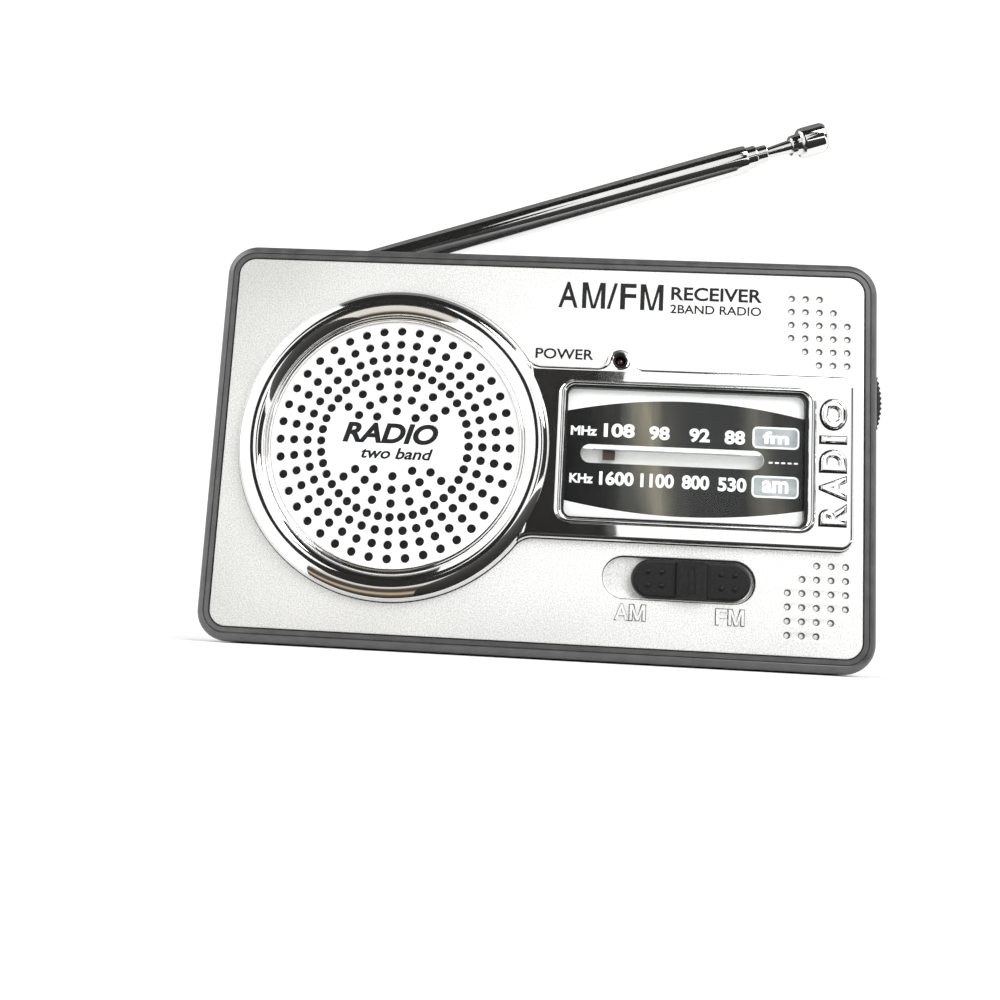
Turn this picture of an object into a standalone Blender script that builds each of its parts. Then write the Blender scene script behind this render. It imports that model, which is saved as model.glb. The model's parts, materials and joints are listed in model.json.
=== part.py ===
"""Pocket two-band radio receiver, standing upright.

Frame: +X to the right seen from the front, +Z up, the front faces -Y. The origin is at the middle
of the bottom edge, on the face the radio stands on. Lengths below are in millimetres, and the
helper functions turn them into metres. Angles are in degrees.
"""
import math

import bmesh
import bpy
from mathutils import Matrix

MM = 0.001
GAP = 0.3                      # clearance between neighbouring pieces

# ---------------------------------------------------------------- driving dimensions
WIDTH = 120.0
HEIGHT = 74.0
FRONT_Y = -12.5                # face of the silver panel
BACK_Y = 12.5
RIM_Y = FRONT_Y - 0.1          # dark rim stands just proud of the panel
SPLIT_Y = -3.0                 # the two case halves meet here
WALL = 1.6
FRONT_DRAFT = 0.25             # the front edge is this much smaller on every side
CASE_CORNER_R = 5.6

PANEL_W = 114.4
PANEL_H = 68.1
PANEL_CORNER_R = 3.0
PANEL_T = 0.8
PANEL_Z = 37.0                 # middle of the panel
WALL_FRONT_Y = -11.4           # the cabinet's own front wall, behind the panel
WALL_BACK_Y = -10.2

SPEAKER_X = -26.0
SPEAKER_Z = 37.1
GRILLE_R = 22.6
RING_OUTER_R = 28.6
RING_INNER_R = 22.9
RING_RISE = 2.5

DIAL_X = (-2.6, 55.2)          # chrome frame, left and right edge
DIAL_Z = (21.3, 52.4)
WINDOW_X = (4.6, 47.0)         # opening in the chrome frame
WINDOW_Z = (25.0, 48.9)
SLOT_X = (7.5, 39.9)           # slot that the pointer shows in
SLOT_Z = (35.2, 38.6)
POINTER_X = 12.6
LED_X = 13.9
LED_Z = 53.6
LED_R = 0.8

SWITCH_X = (12.2, 38.8)        # recess of the band switch
SWITCH_Z = (11.3, 18.9)
KNOB_X = (17.3, 37.9)
SWITCH_TRAVEL = 4.3

GEAR_MODULE = 0.8
PINION_TEETH = 19
IDLER_TEETH = 28
PINION_R = GEAR_MODULE * PINION_TEETH / 2
IDLER_R = GEAR_MODULE * IDLER_TEETH / 2
TOOTH_ADDENDUM = 0.6
TOOTH_DEDENDUM = 0.95
TOOTH_BACKLASH = 0.3
IDLER_Y = (-9.8, -7.9)         # the idler is deep enough for the rack in front, the pinion behind
RACK_Y = (-9.8, -9.0)
PINION_FRONT_Y = -8.7
TUNING_X = 46.0
TUNING_Z = 49.4
TUNING_R = 16.0
TUNING_Y = (-7.6, -4.6)
RACK_PITCH_Z = 41.5
IDLER_Z = RACK_PITCH_Z + IDLER_R
IDLER_X = TUNING_X - math.sqrt((PINION_R + IDLER_R) ** 2 - (TUNING_Z - IDLER_Z) ** 2)

VOLUME_X = 52.6
VOLUME_Z = 22.0
VOLUME_R = 8.8
VOLUME_Y = (-0.2, 2.2)

BOARD_Y = (-3.6, -2.4)

LEDGE_Y = 2.2                  # the antenna lies on a ledge behind this plane
LEDGE_Z = 68.2
ANTENNA_X = -55.0              # pivot of the antenna
ANTENNA_Y = 6.0
ANTENNA_Z = 71.6
ANTENNA_TILT = 18.3            # how far the antenna is raised at rest
ANTENNA_LENGTH = 115.4         # pivot to tip, pushed together
TUBE_RADII = ((2.75, 2.45), (2.15, 1.9), (1.7, 1.5))
ROD_R = 1.25
TUBE_START = 4.6
TUBE_ENDS = (98.5, 100.9, 103.1)
CAP_START = 109.6
CAP_R = 3.0

CELL_R = 5.25
CELL_LENGTH = 44.5
CELL_Y = 5.2
CELL_Z = (9.4, 20.8)
BAY_X = (-10.0, 40.0)
BAY_Y = -0.3
BAY_Z = (3.6, 26.6)
DOOR_X = (-11.0, 41.0)
DOOR_Z = (3.0, 27.4)
DOOR_Y = 11.2

CASE_SCREWS = ((-54.3, 7.4), (-54.3, 59.5), (10.0, 62.3), (54.3, 7.4))
CLIP_ANGLES = (135.0, 315.0)
CLIP_RADIUS = 28.0
JACK_Z = 22.0
JACK_Y = 6.0


# ---------------------------------------------------------------- scene and materials
def clear_scene():
    for obj in list(bpy.data.objects):
        bpy.data.objects.remove(obj, do_unlink=True)


clear_scene()
PARTS = bpy.data.collections.new("pocket_radio")
CUTTERS = bpy.data.collections.new("cutters")
bpy.context.scene.collection.children.link(PARTS)
bpy.context.scene.collection.children.link(CUTTERS)


def material(name, colour, roughness, metallic=0.0):
    """A Principled material with one colour."""
    mat = bpy.data.materials.new(name)
    mat.use_nodes = True
    shader = mat.node_tree.nodes["Principled BSDF"]
    shader.inputs["Base Color"].default_value = (*colour, 1.0)
    shader.inputs["Roughness"].default_value = roughness
    shader.inputs["Metallic"].default_value = metallic
    return mat


DARK_CASE = material("dark_case", (0.035, 0.035, 0.037), 0.42)
SILVER = material("silver_panel", (0.78, 0.78, 0.76), 0.38, 0.6)
CHROME = material("chrome", (0.86, 0.86, 0.85), 0.06, 1.0)
WHITE_METAL = material("grille_white", (0.86, 0.86, 0.86), 0.35, 0.2)
CLEAR = material("clear_plastic", (0.93, 0.95, 0.95), 0.05)
DIAL_BLACK = material("dial_black", (0.05, 0.047, 0.04), 0.3, 0.5)
DIAL_WHITE = material("dial_white", (0.9, 0.9, 0.87), 0.5)
POINTER_RED = material("pointer_red", (0.16, 0.05, 0.04), 0.45)
NYLON = material("gear_nylon", (0.85, 0.83, 0.76), 0.5)
KNOB_BLACK = material("knob_black", (0.02, 0.02, 0.021), 0.5)
LED_RED = material("led_lens", (0.06, 0.01, 0.01), 0.15)
BOARD = material("circuit_board", (0.36, 0.2, 0.07), 0.55)
STEEL = material("zinc_steel", (0.62, 0.62, 0.6), 0.32, 1.0)
BRASS = material("brass", (0.68, 0.5, 0.22), 0.3, 1.0)
FERRITE = material("ferrite", (0.05, 0.05, 0.055), 0.7)
COPPER = material("copper_winding", (0.55, 0.23, 0.1), 0.4, 0.8)
CONE_PAPER = material("cone_paper", (0.05, 0.05, 0.05), 0.9)
CELL_SLEEVE = material("cell_sleeve", (0.1, 0.22, 0.35), 0.35)
CAPACITOR_SLEEVE = material("capacitor_sleeve", (0.03, 0.05, 0.12), 0.4)


# ---------------------------------------------------------------- making objects
def link(obj, mat):
    """Put an object among the parts, or among the cutters when it has no material."""
    if mat is None:
        CUTTERS.objects.link(obj)
        obj.hide_render = True
        obj.display_type = "WIRE"
    else:
        PARTS.objects.link(obj)
        obj.data.materials.append(mat)
    return obj


def from_bmesh(name, bm, mat):
    mesh = bpy.data.meshes.new(name)
    bmesh.ops.recalc_face_normals(bm, faces=bm.faces)
    bm.to_mesh(mesh)
    bm.free()
    return link(bpy.data.objects.new(name, mesh), mat)


def block(name, x, y, z, mat=None, round_axis=None, radius=0.0, segments=4, chamfer=0.0):
    """A box between two limits on each axis, its four edges along round_axis rounded."""
    bm = bmesh.new()
    bmesh.ops.create_cube(bm, size=1.0)
    size = [(b - a) * MM for a, b in (x, y, z)]
    centre = [(a + b) / 2 * MM for a, b in (x, y, z)]
    bmesh.ops.transform(bm, verts=bm.verts, matrix=Matrix.Diagonal((*size, 1.0)))
    if round_axis is not None:
        edges = [e for e in bm.edges
                 if abs((e.verts[0].co - e.verts[1].co)[round_axis]) > 0.5 * size[round_axis]]
        bmesh.ops.bevel(bm, geom=edges, offset=radius * MM, segments=segments,
                        affect="EDGES", profile=0.5)
    if chamfer > 0.0:
        edges = [e for e in bm.edges if e.calc_face_angle(0.0) > 0.9]
        bmesh.ops.bevel(bm, geom=edges, offset=chamfer * MM, segments=1, affect="EDGES")
    bmesh.ops.translate(bm, verts=bm.verts, vec=centre)
    return from_bmesh(name, bm, mat)


AXIS_TURNS = {
    "X": Matrix.Rotation(math.radians(90), 4, "Y"),
    "Y": Matrix.Rotation(math.radians(-90), 4, "X"),
    "Z": Matrix.Identity(4),
}


def rod(name, centre, axis, span, radius, mat=None, sides=16):
    """A cylinder along an axis, between the two values of span on that axis.

    centre gives the place on all three axes; its value on the rod's own axis is not used.
    """
    bm = bmesh.new()
    length = (span[1] - span[0]) * MM
    bmesh.ops.create_cone(bm, cap_ends=True, segments=sides, radius1=radius * MM,
                          radius2=radius * MM, depth=length)
    bmesh.ops.transform(bm, verts=bm.verts, matrix=AXIS_TURNS[axis])
    place = list(centre)
    place["XYZ".index(axis)] = (span[0] + span[1]) / 2
    bmesh.ops.translate(bm, verts=bm.verts, vec=[v * MM for v in place])
    return from_bmesh(name, bm, mat)


def turned(name, profile, centre, mat, steps=24, closed=True, axis="Y"):
    """A turned shape: profile holds (radius, height), from the top down the outer side.

    Heights run along -Y for axis Y, so the top of the profile faces the front, and along +X for
    axis X. A closed profile comes back up the inner side.
    """
    mesh = bpy.data.meshes.new(name)
    verts = [(r * MM, 0.0, h * MM) for r, h in profile]
    edges = [(i, i + 1) for i in range(len(verts) - 1)]
    if closed:
        edges.append((len(verts) - 1, 0))
    mesh.from_pydata(verts, edges, [])
    obj = link(bpy.data.objects.new(name, mesh), mat)
    turn = {"Y": Matrix.Rotation(math.radians(90), 4, "X"),
            "X": Matrix.Rotation(math.radians(90), 4, "Y"),
            "Z": Matrix.Identity(4)}[axis]
    obj.matrix_world = Matrix.Translation([v * MM for v in centre]) @ turn
    screw = obj.modifiers.new("turn", "SCREW")
    screw.axis = "Z"
    screw.steps = steps
    screw.render_steps = steps
    screw.use_merge_vertices = True
    screw.merge_threshold = 0.00001
    screw.use_normal_calculate = False
    return obj


def circle(cx, cz, radius, count):
    """Points of a circle in the X-Z plane."""
    return [(cx + radius * math.cos(2 * math.pi * i / count),
             cz + radius * math.sin(2 * math.pi * i / count)) for i in range(count)]


def rounded(x, z, radius, count=4):
    """Points of a rectangle with round corners, count segments to each corner."""
    points = []
    corners = ((x[1] - radius, z[1] - radius, 0), (x[0] + radius, z[1] - radius, 90),
               (x[0] + radius, z[0] + radius, 180), (x[1] - radius, z[0] + radius, 270))
    for cx, cz, start in corners:
        for i in range(count + 1):
            angle = math.radians(start + 90 * i / count)
            points.append((cx + radius * math.cos(angle), cz + radius * math.sin(angle)))
    return points


def toothed(cx, cz, pitch_r, teeth, phase):
    """Outline of a spur gear; phase is the direction of one tooth, in radians."""
    pitch = 2 * math.pi / teeth
    half_tip = (0.13 * math.pi * GEAR_MODULE - TOOTH_BACKLASH / 6) / pitch_r
    half_root = (0.36 * math.pi * GEAR_MODULE - TOOTH_BACKLASH / 2) / pitch_r
    points = []
    for i in range(teeth):
        middle = phase + i * pitch
        for offset, radius in ((-half_root, pitch_r - TOOTH_DEDENDUM),
                               (-half_tip, pitch_r + TOOTH_ADDENDUM),
                               (half_tip, pitch_r + TOOTH_ADDENDUM),
                               (half_root, pitch_r - TOOTH_DEDENDUM)):
            angle = middle + offset
            points.append((cx + radius * math.cos(angle), cz + radius * math.sin(angle)))
    return points


def knurled(cx, cz, radius, depth, teeth):
    """Outline of a finger wheel with V-shaped ridges."""
    points = []
    for i in range(2 * teeth):
        r = radius - depth * (i % 2)
        angle = math.pi * i / teeth
        points.append((cx + r * math.cos(angle), cz + r * math.sin(angle)))
    return points


def plate(name, loops, y, mat=None):
    """A flat piece in the X-Z plane between the two y values: an outline, then its holes."""
    curve = bpy.data.curves.new(name, "CURVE")
    curve.dimensions = "2D"
    curve.fill_mode = "BOTH"
    curve.extrude = (y[1] - y[0]) / 2 * MM
    curve.resolution_u = 1
    for loop in loops:
        spline = curve.splines.new("POLY")
        spline.points.add(len(loop) - 1)
        for point, (px, pz) in zip(spline.points, loop):
            point.co = (px * MM, pz * MM, 0.0, 1.0)
        spline.use_cyclic_u = True
    source = bpy.data.objects.new(name + "_outline", curve)
    CUTTERS.objects.link(source)
    source.matrix_world = (Matrix.Translation((0.0, (y[0] + y[1]) / 2 * MM, 0.0))
                           @ Matrix.Rotation(math.radians(90), 4, "X"))
    return solid_from_curve(name, source, mat)


def solid_from_curve(name, source, mat):
    """Turn a curve object into a welded mesh object of the same place, and drop the curve."""
    bpy.context.view_layer.update()
    evaluated = source.evaluated_get(bpy.context.evaluated_depsgraph_get())
    mesh = bpy.data.meshes.new_from_object(evaluated)
    bm = bmesh.new()
    bm.from_mesh(mesh)
    bmesh.ops.remove_doubles(bm, verts=bm.verts, dist=0.000005)
    bmesh.ops.transform(bm, verts=bm.verts, matrix=source.matrix_world)
    bpy.data.objects.remove(source, do_unlink=True)
    return from_bmesh(name, bm, mat)


def boolean(obj, other, operation):
    modifier = obj.modifiers.new(operation.lower(), "BOOLEAN")
    modifier.operation = operation
    modifier.solver = "EXACT"
    modifier.object = other
    return obj


def cut(obj, *cutters):
    for cutter in cutters:
        boolean(obj, cutter, "DIFFERENCE")
    return obj


def add(obj, *others):
    for other in others:
        boolean(obj, other, "UNION")
    return obj


def pivot(name, place, tilt=0.0):
    """An empty on a joint's axis, which the moving pieces hang from."""
    empty = bpy.data.objects.new(name, None)
    PARTS.objects.link(empty)
    empty.empty_display_size = 0.005
    empty.matrix_world = (Matrix.Translation([v * MM for v in place])
                          @ Matrix.Rotation(math.radians(-tilt), 4, "Y"))
    return empty


def hang(empty, *objects):
    """Parent pieces modelled in world coordinates to an empty, where they are."""
    bpy.context.view_layer.update()
    for obj in objects:
        obj.parent = empty
        obj.matrix_parent_inverse = empty.matrix_world.inverted()
    return objects


def hang_local(empty, *objects):
    """Parent pieces modelled around the empty's own origin and axes."""
    for obj in objects:
        obj.parent = empty
    return objects


# ---------------------------------------------------------------- case
def case_block(name, y, z_low, mat, front_draft=0.0, back_round=0.0):
    """One half of the case as a solid with rounded corners and a drafted or rounded end."""
    bm = bmesh.new()
    bmesh.ops.create_cube(bm, size=1.0)
    size = (WIDTH * MM, (y[1] - y[0]) * MM, (HEIGHT - z_low) * MM, 1.0)
    bmesh.ops.transform(bm, verts=bm.verts, matrix=Matrix.Diagonal(size))
    for vert in bm.verts:
        if front_draft > 0.0 and vert.co.y < 0.0:
            vert.co.x -= math.copysign(front_draft * MM, vert.co.x)
            vert.co.z -= math.copysign(front_draft * MM, vert.co.z)
    corners = [e for e in bm.edges if abs(e.verts[0].co.y - e.verts[1].co.y) > 0.5 * size[1]]
    bmesh.ops.bevel(bm, geom=corners, offset=CASE_CORNER_R * MM, segments=6, affect="EDGES",
                    profile=0.5)
    end_y = -size[1] / 2 if front_draft > 0.0 else size[1] / 2
    rim = [e for e in bm.edges if all(abs(v.co.y - end_y) < 1e-7 for v in e.verts)]
    offset, segments = (1.1, 3) if front_draft > 0.0 else (back_round, 4)
    bmesh.ops.bevel(bm, geom=rim, offset=offset * MM, segments=segments, affect="EDGES",
                    profile=0.5)
    middle = (0.0, (y[0] + y[1]) / 2 * MM, (HEIGHT + z_low) / 2 * MM)
    bmesh.ops.translate(bm, verts=bm.verts, vec=middle)
    return from_bmesh(name, bm, mat)


def front_cabinet():
    """Dark tray with a rim around the panel, openings in its front wall and screw bosses."""
    body = case_block("front_cabinet", (RIM_Y, SPLIT_Y), 0.0, DARK_CASE, FRONT_DRAFT)
    pocket = plate("panel_pocket", [rounded((-PANEL_W / 2 - 0.2, PANEL_W / 2 + 0.2),
                   (PANEL_Z - PANEL_H / 2 - 0.2, PANEL_Z + PANEL_H / 2 + 0.2),
                   PANEL_CORNER_R + 0.2)], (RIM_Y - 2.0, WALL_FRONT_Y))
    inside = block("cabinet_inside", (-WIDTH / 2 + WALL, WIDTH / 2 - WALL), (WALL_BACK_Y, 5.0),
                   (WALL, HEIGHT - WALL), None, 1, CASE_CORNER_R - WALL)
    cut(body, pocket, inside)
    for index, (x, z) in enumerate(CASE_SCREWS, start=1):
        boss = rod(f"boss_{index}", (x, 0, z), "Y", (WALL_BACK_Y - 0.5, SPLIT_Y - 0.1), 2.8,
                   sides=16)
        add(body, boss)
        cut(body, rod(f"boss_hole_{index}", (x, 0, z), "Y", (-9.2, 0.0), 1.5, sides=12))
    for index, angle in enumerate(CLIP_ANGLES, start=1):
        x, z = clip_place(angle)
        add(body, rod(f"clip_post_{index}", (x, 0, z), "Y", (WALL_BACK_Y - 0.5, -9.0), 2.2,
                      sides=12))
        cut(body, rod(f"clip_post_hole_{index}", (x, 0, z), "Y", (-10.6, -8.0), 1.1, sides=8))
    cut(body,
        rod("speaker_hole", (SPEAKER_X, 0, SPEAKER_Z), "Y", (-14.0, -8.0), 23.4, sides=40),
        plate("dial_hole", [rounded((4.0, 48.0), (25.0, 49.0), 2.0)], (-14.0, -8.0)),
        plate("switch_cup_hole", [rounded((SWITCH_X[0] - 1.1, SWITCH_X[1] + 1.1),
              (SWITCH_Z[0] - 1.1, SWITCH_Z[1] + 1.1), 4.8)], (-14.0, -8.0)),
        rod("led_wall_hole", (LED_X, 0, LED_Z), "Y", (-14.0, -8.0), 1.4, sides=12),
        rod("idler_pin_hole", (IDLER_X, 0, IDLER_Z), "Y", (-11.15, -8.0), 1.5, sides=12),
        block("tuning_slot", (55.0, 65.0), (TUNING_Y[0] - 0.5, TUNING_Y[1] + 0.5),
              (TUNING_Z - 11.6, TUNING_Z + 11.6)))
    return body


def ledge_block(name, growth):
    """The space above the antenna ledge, grown by a wall's thickness for the inside."""
    return block(name, (-80.0, 80.0), (LEDGE_Y - growth, 30.0), (LEDGE_Z - growth, 90.0))


def rear_cover():
    """Back half with the antenna ledge, the battery well, screw posts and side openings."""
    body = case_block("rear_cover", (SPLIT_Y + GAP, BACK_Y), 0.0, DARK_CASE, 0.0, 2.2)
    inside = block("cover_inside", (-WIDTH / 2 + WALL, WIDTH / 2 - WALL), (-8.0, BACK_Y - WALL),
                   (WALL, HEIGHT - WALL), None, 1, CASE_CORNER_R - WALL)
    cut(inside, ledge_block("ledge_inside", WALL))
    cut(body, ledge_block("antenna_ledge", 0.0), inside)
    add(body, block("battery_well", (BAY_X[0] - 1.6, BAY_X[1] + 1.6), (BAY_Y - 1.2, BACK_Y - 0.5),
                    (BAY_Z[0] - 2.8, BAY_Z[1] + 1.5)))
    for index, (x, z) in enumerate(CASE_SCREWS, start=1):
        add(body, rod(f"cover_post_{index}", (x, 0, z), "Y", (-2.6, BACK_Y - 0.8), 3.4, sides=16))
        cut(body, rod(f"cover_post_hole_{index}", (x, 0, z), "Y", (-5.0, 15.0), 1.5, sides=12),
            rod(f"head_recess_{index}", (x, 0, z), "Y", (9.4, 15.0), 2.7, sides=16))
    cut(body,
        block("battery_bay", BAY_X, (BAY_Y, 15.0), BAY_Z, None, 1, 1.0, 2),
        block("door_seat", (DOOR_X[0] - GAP, DOOR_X[1] + GAP), (DOOR_Y - GAP, 15.0),
              (DOOR_Z[0] - GAP, DOOR_Z[1] + GAP), None, 1, 0.8, 2),
        rod("stud_hole", (ANTENNA_X, ANTENNA_Y, 0), "Z", (64.0, 72.0), 2.3, sides=16),
        rod("jack_hole", (0, JACK_Y, JACK_Z), "X", (-70.0, -55.0), 2.4, sides=16),
        block("volume_slot", (55.0, 65.0), (VOLUME_Y[0] - 0.6, VOLUME_Y[1] + 0.6),
              (VOLUME_Z - 7.6, VOLUME_Z + 7.6)))
    return body


def battery_door():
    """Flat door that turns open about its lower outer edge, with a finger ridge at the top."""
    hinge = pivot("battery_door_axis", (0, BACK_Y, DOOR_Z[0]))
    door = block("battery_door", DOOR_X, (DOOR_Y, BACK_Y), DOOR_Z, DARK_CASE, 1, 0.6, 2)
    middle = (DOOR_X[0] + DOOR_X[1]) / 2
    cut(door, block("door_finger_dip", (middle - 7, middle + 7), (BACK_Y - 0.6, 15.0),
                    (DOOR_Z[1] - 5.0, DOOR_Z[1] - 2.4)))
    hang(hinge, door)


def case_screws():
    """Four screws from the back, each in its own post."""
    for index, (x, z) in enumerate(CASE_SCREWS, start=1):
        screw = rod(f"case_screw_{index}", (x, 0, z), "Y", (9.8, 11.4), 2.3, STEEL, 12)
        add(screw, rod(f"screw_shank_{index}", (x, 0, z), "Y", (-8.6, 10.2), 1.1, sides=8))
        cut(screw, block(f"screw_slot_{index}", (x - 1.7, x + 1.7), (10.8, 13.0),
                         (z - 0.3, z + 0.3)),
            block(f"screw_cross_{index}", (x - 0.3, x + 0.3), (10.8, 13.0), (z - 1.7, z + 1.7)))


# ---------------------------------------------------------------- front of the radio
def front_panel():
    """Silver plate with its openings and the formed cup that the band switch slides in."""
    edge = rounded((-PANEL_W / 2, PANEL_W / 2), (PANEL_Z - PANEL_H / 2, PANEL_Z + PANEL_H / 2),
                   PANEL_CORNER_R)
    holes = [circle(SPEAKER_X, SPEAKER_Z, 25.6, 40),
             rounded((3.0, 49.0), (23.4, 50.4), 2.0),
             circle(LED_X, LED_Z, 1.4, 12)]
    panel = plate("front_panel", [edge] + holes, (FRONT_Y, FRONT_Y + PANEL_T), SILVER)
    cup = plate("switch_cup", [rounded((SWITCH_X[0] - 0.6, SWITCH_X[1] + 0.6),
                (SWITCH_Z[0] - 0.6, SWITCH_Z[1] + 0.6), 4.3)], (FRONT_Y + 0.4, -10.7))
    dish = plate("switch_dish", [rounded(SWITCH_X, SWITCH_Z, 3.75)], (-15.0, -11.3))
    stem_x = switch_stem_x()
    slot = block("stem_slot", (stem_x[0] - SWITCH_TRAVEL - 0.5, stem_x[1] + 0.5), (-13.0, -9.0),
                 (13.6, 16.6))
    return cut(add(panel, cup), dish, slot)


def chrome_trim():
    """One bright moulding: a bulging ring around the grille joined to the dial's frame."""
    base = -FRONT_Y + GAP
    top = -FRONT_Y + RING_RISE
    profile = [(24.9, top), (26.6, top - 0.35), (28.0, top - 1.1), (RING_OUTER_R, base),
               (RING_INNER_R, base), (23.1, top - 1.1), (23.8, top - 0.3)]
    trim = turned("chrome_trim", profile, (SPEAKER_X, 0, SPEAKER_Z), CHROME, 40)
    frame = plate("dial_frame", [rounded(DIAL_X, DIAL_Z, 2.2), rounded(WINDOW_X, WINDOW_Z, 1.6)],
                  (FRONT_Y - 1.9, FRONT_Y - GAP - 0.03))
    bump = rod("led_bump", (LED_X, 0, LED_Z), "Y", (FRONT_Y - 1.8, FRONT_Y - GAP - 0.06), 2.3,
               sides=16)
    hole = rod("led_hole", (LED_X, 0, LED_Z), "Y", (-16.0, -12.0), 1.1, sides=12)
    return cut(add(trim, frame, bump), hole)


def speaker_grille():
    """Disc inside the ring, slightly domed; its many small holes belong to the finish."""
    front = -FRONT_Y + 0.2
    profile = [(0.0, front + 0.5), (9.0, front + 0.4), (17.0, front + 0.15), (GRILLE_R, front - 0.3),
               (GRILLE_R, front - 1.0), (17.0, front - 0.6), (0.0, front - 0.35)]
    turned("speaker_grille", profile, (SPEAKER_X, 0, SPEAKER_Z), WHITE_METAL, 40, closed=False)
    rod("grille_cloth", (SPEAKER_X, 0, SPEAKER_Z), "Y", (-11.4, -10.9), 22.6, CONE_PAPER, 32)


def dial():
    """Clear window, printed scale with the pointer's slot, and the white strip behind it."""
    plate("dial_window", [rounded((WINDOW_X[0] + GAP, WINDOW_X[1] - GAP),
          (WINDOW_Z[0] + GAP, WINDOW_Z[1] - GAP), 1.3)], (-13.6, -12.8), CLEAR)
    plate("dial_scale", [rounded((3.4, 48.6), (23.8, 50.0), 1.6), rounded(SLOT_X, SLOT_Z, 1.65)],
          (-12.4, -11.8), DIAL_BLACK)
    strip = block("dial_strip", (1.2, 50.5), (-9.9, -9.3), (33.4, 39.2), DIAL_WHITE)
    add(strip, block("rack_rail", (1.2, 50.5), (-9.5, -8.2), (38.6, 39.2)))


def power_led():
    turned("power_led", [(0.0, 14.5), (0.55, 14.3), (LED_R, 13.9), (LED_R, 10.4), (0.0, 10.4)],
           (LED_X, 0, LED_Z), LED_RED, 12, closed=False)


def switch_stem_x():
    middle = (KNOB_X[0] + KNOB_X[1]) / 2
    return (middle - 2.2, middle + 2.2)


def band_switch():
    """Sliding knob with a raised grip, its stem, and the switch body behind the wall."""
    middle = (KNOB_X[0] + KNOB_X[1]) / 2
    low, high = SWITCH_Z[0] + 0.4, SWITCH_Z[1] - 0.4
    knob = plate("band_switch_knob", [rounded(KNOB_X, (low, high), (high - low) / 2 - 0.02, 6)],
                 (-13.7, -11.6), KNOB_BLACK)
    add(knob, block("knob_grip", (middle - 2.9, middle + 2.9), (-14.2, -13.0),
                    (low + 0.1, high - 0.1), None, 1, 0.6, 2),
        block("knob_stem", switch_stem_x(), (-12.5, -8.4), (14.0, 16.2)))
    cut(knob, block("knob_groove", (middle - 0.5, middle + 0.5), (-16.0, -13.9),
                    (low + 1.2, high - 1.2)))
    slider = pivot("band_switch_axis", (middle, FRONT_Y, (low + high) / 2))
    hang(slider, knob)
    stem = switch_stem_x()
    body = block("band_switch_body", (stem[0] - 7.0, stem[1] + 4.0), (-9.9, -3.9), (12.0, 18.2),
                 STEEL)
    cut(body, block("switch_lever_slot", (stem[0] - SWITCH_TRAVEL - 0.5, stem[1] + 0.5),
                    (-11.0, -8.0), (13.6, 16.6)))


# ---------------------------------------------------------------- tuning drive
def tuning_drive():
    """Finger wheel with its pinion, the idler, and the pointer's rack, all in mesh at rest."""
    to_idler = math.atan2(IDLER_Z - TUNING_Z, IDLER_X - TUNING_X)
    wheel_axis = pivot("tuning_axis", (TUNING_X, TUNING_Y[0], TUNING_Z))
    wheel = plate("tuning_wheel", [knurled(TUNING_X, TUNING_Z, TUNING_R, 0.45, 60)], TUNING_Y,
                  KNOB_BLACK)
    pinion = plate("pinion", [toothed(TUNING_X, TUNING_Z, PINION_R, PINION_TEETH, to_idler)],
                   (PINION_FRONT_Y, TUNING_Y[0] + 0.5))
    centre = (TUNING_X, 0, TUNING_Z)
    add(wheel, pinion)
    cut(wheel, rod("wheel_screw_hole", centre, "Y", (-12.0, 0.0), 1.5, sides=12),
        rod("wheel_shaft_hole", centre, "Y", (-6.1, 0.0), 3.2, sides=16))
    screw = rod("tuning_screw", centre, "Y", (-9.9, -9.0), 2.5, STEEL, 12)
    add(screw, rod("tuning_screw_shank", centre, "Y", (-9.2, -6.2), 1.1, sides=8))
    shaft = rod("tuning_shaft", centre, "Y", (-5.8, -2.4), 2.9, BRASS, 16)
    hang(wheel_axis, wheel, screw, shaft)

    idler_pitch = 2 * math.pi / IDLER_TEETH
    idler_phase = to_idler + math.pi + idler_pitch / 2
    idler_axis = pivot("idler_axis", (IDLER_X, IDLER_Y[0], IDLER_Z))
    idler = plate("idler_gear", [toothed(IDLER_X, IDLER_Z, IDLER_R, IDLER_TEETH, idler_phase),
                  circle(IDLER_X, IDLER_Z, 1.6, 12)], IDLER_Y, NYLON)
    hang(idler_axis, idler)
    pin = rod("idler_pin", (IDLER_X, 0, IDLER_Z), "Y", (-7.6, -6.9), 1.9, STEEL, 12)
    add(pin, rod("idler_pin_shank", (IDLER_X, 0, IDLER_Z), "Y", (-10.9, -7.3), 1.2, sides=10))

    down = -math.pi / 2
    steps = round((down - idler_phase) / idler_pitch)
    tooth_angle = idler_phase + steps * idler_pitch - down
    dial_pointer(IDLER_X + tooth_angle * IDLER_R)


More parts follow.
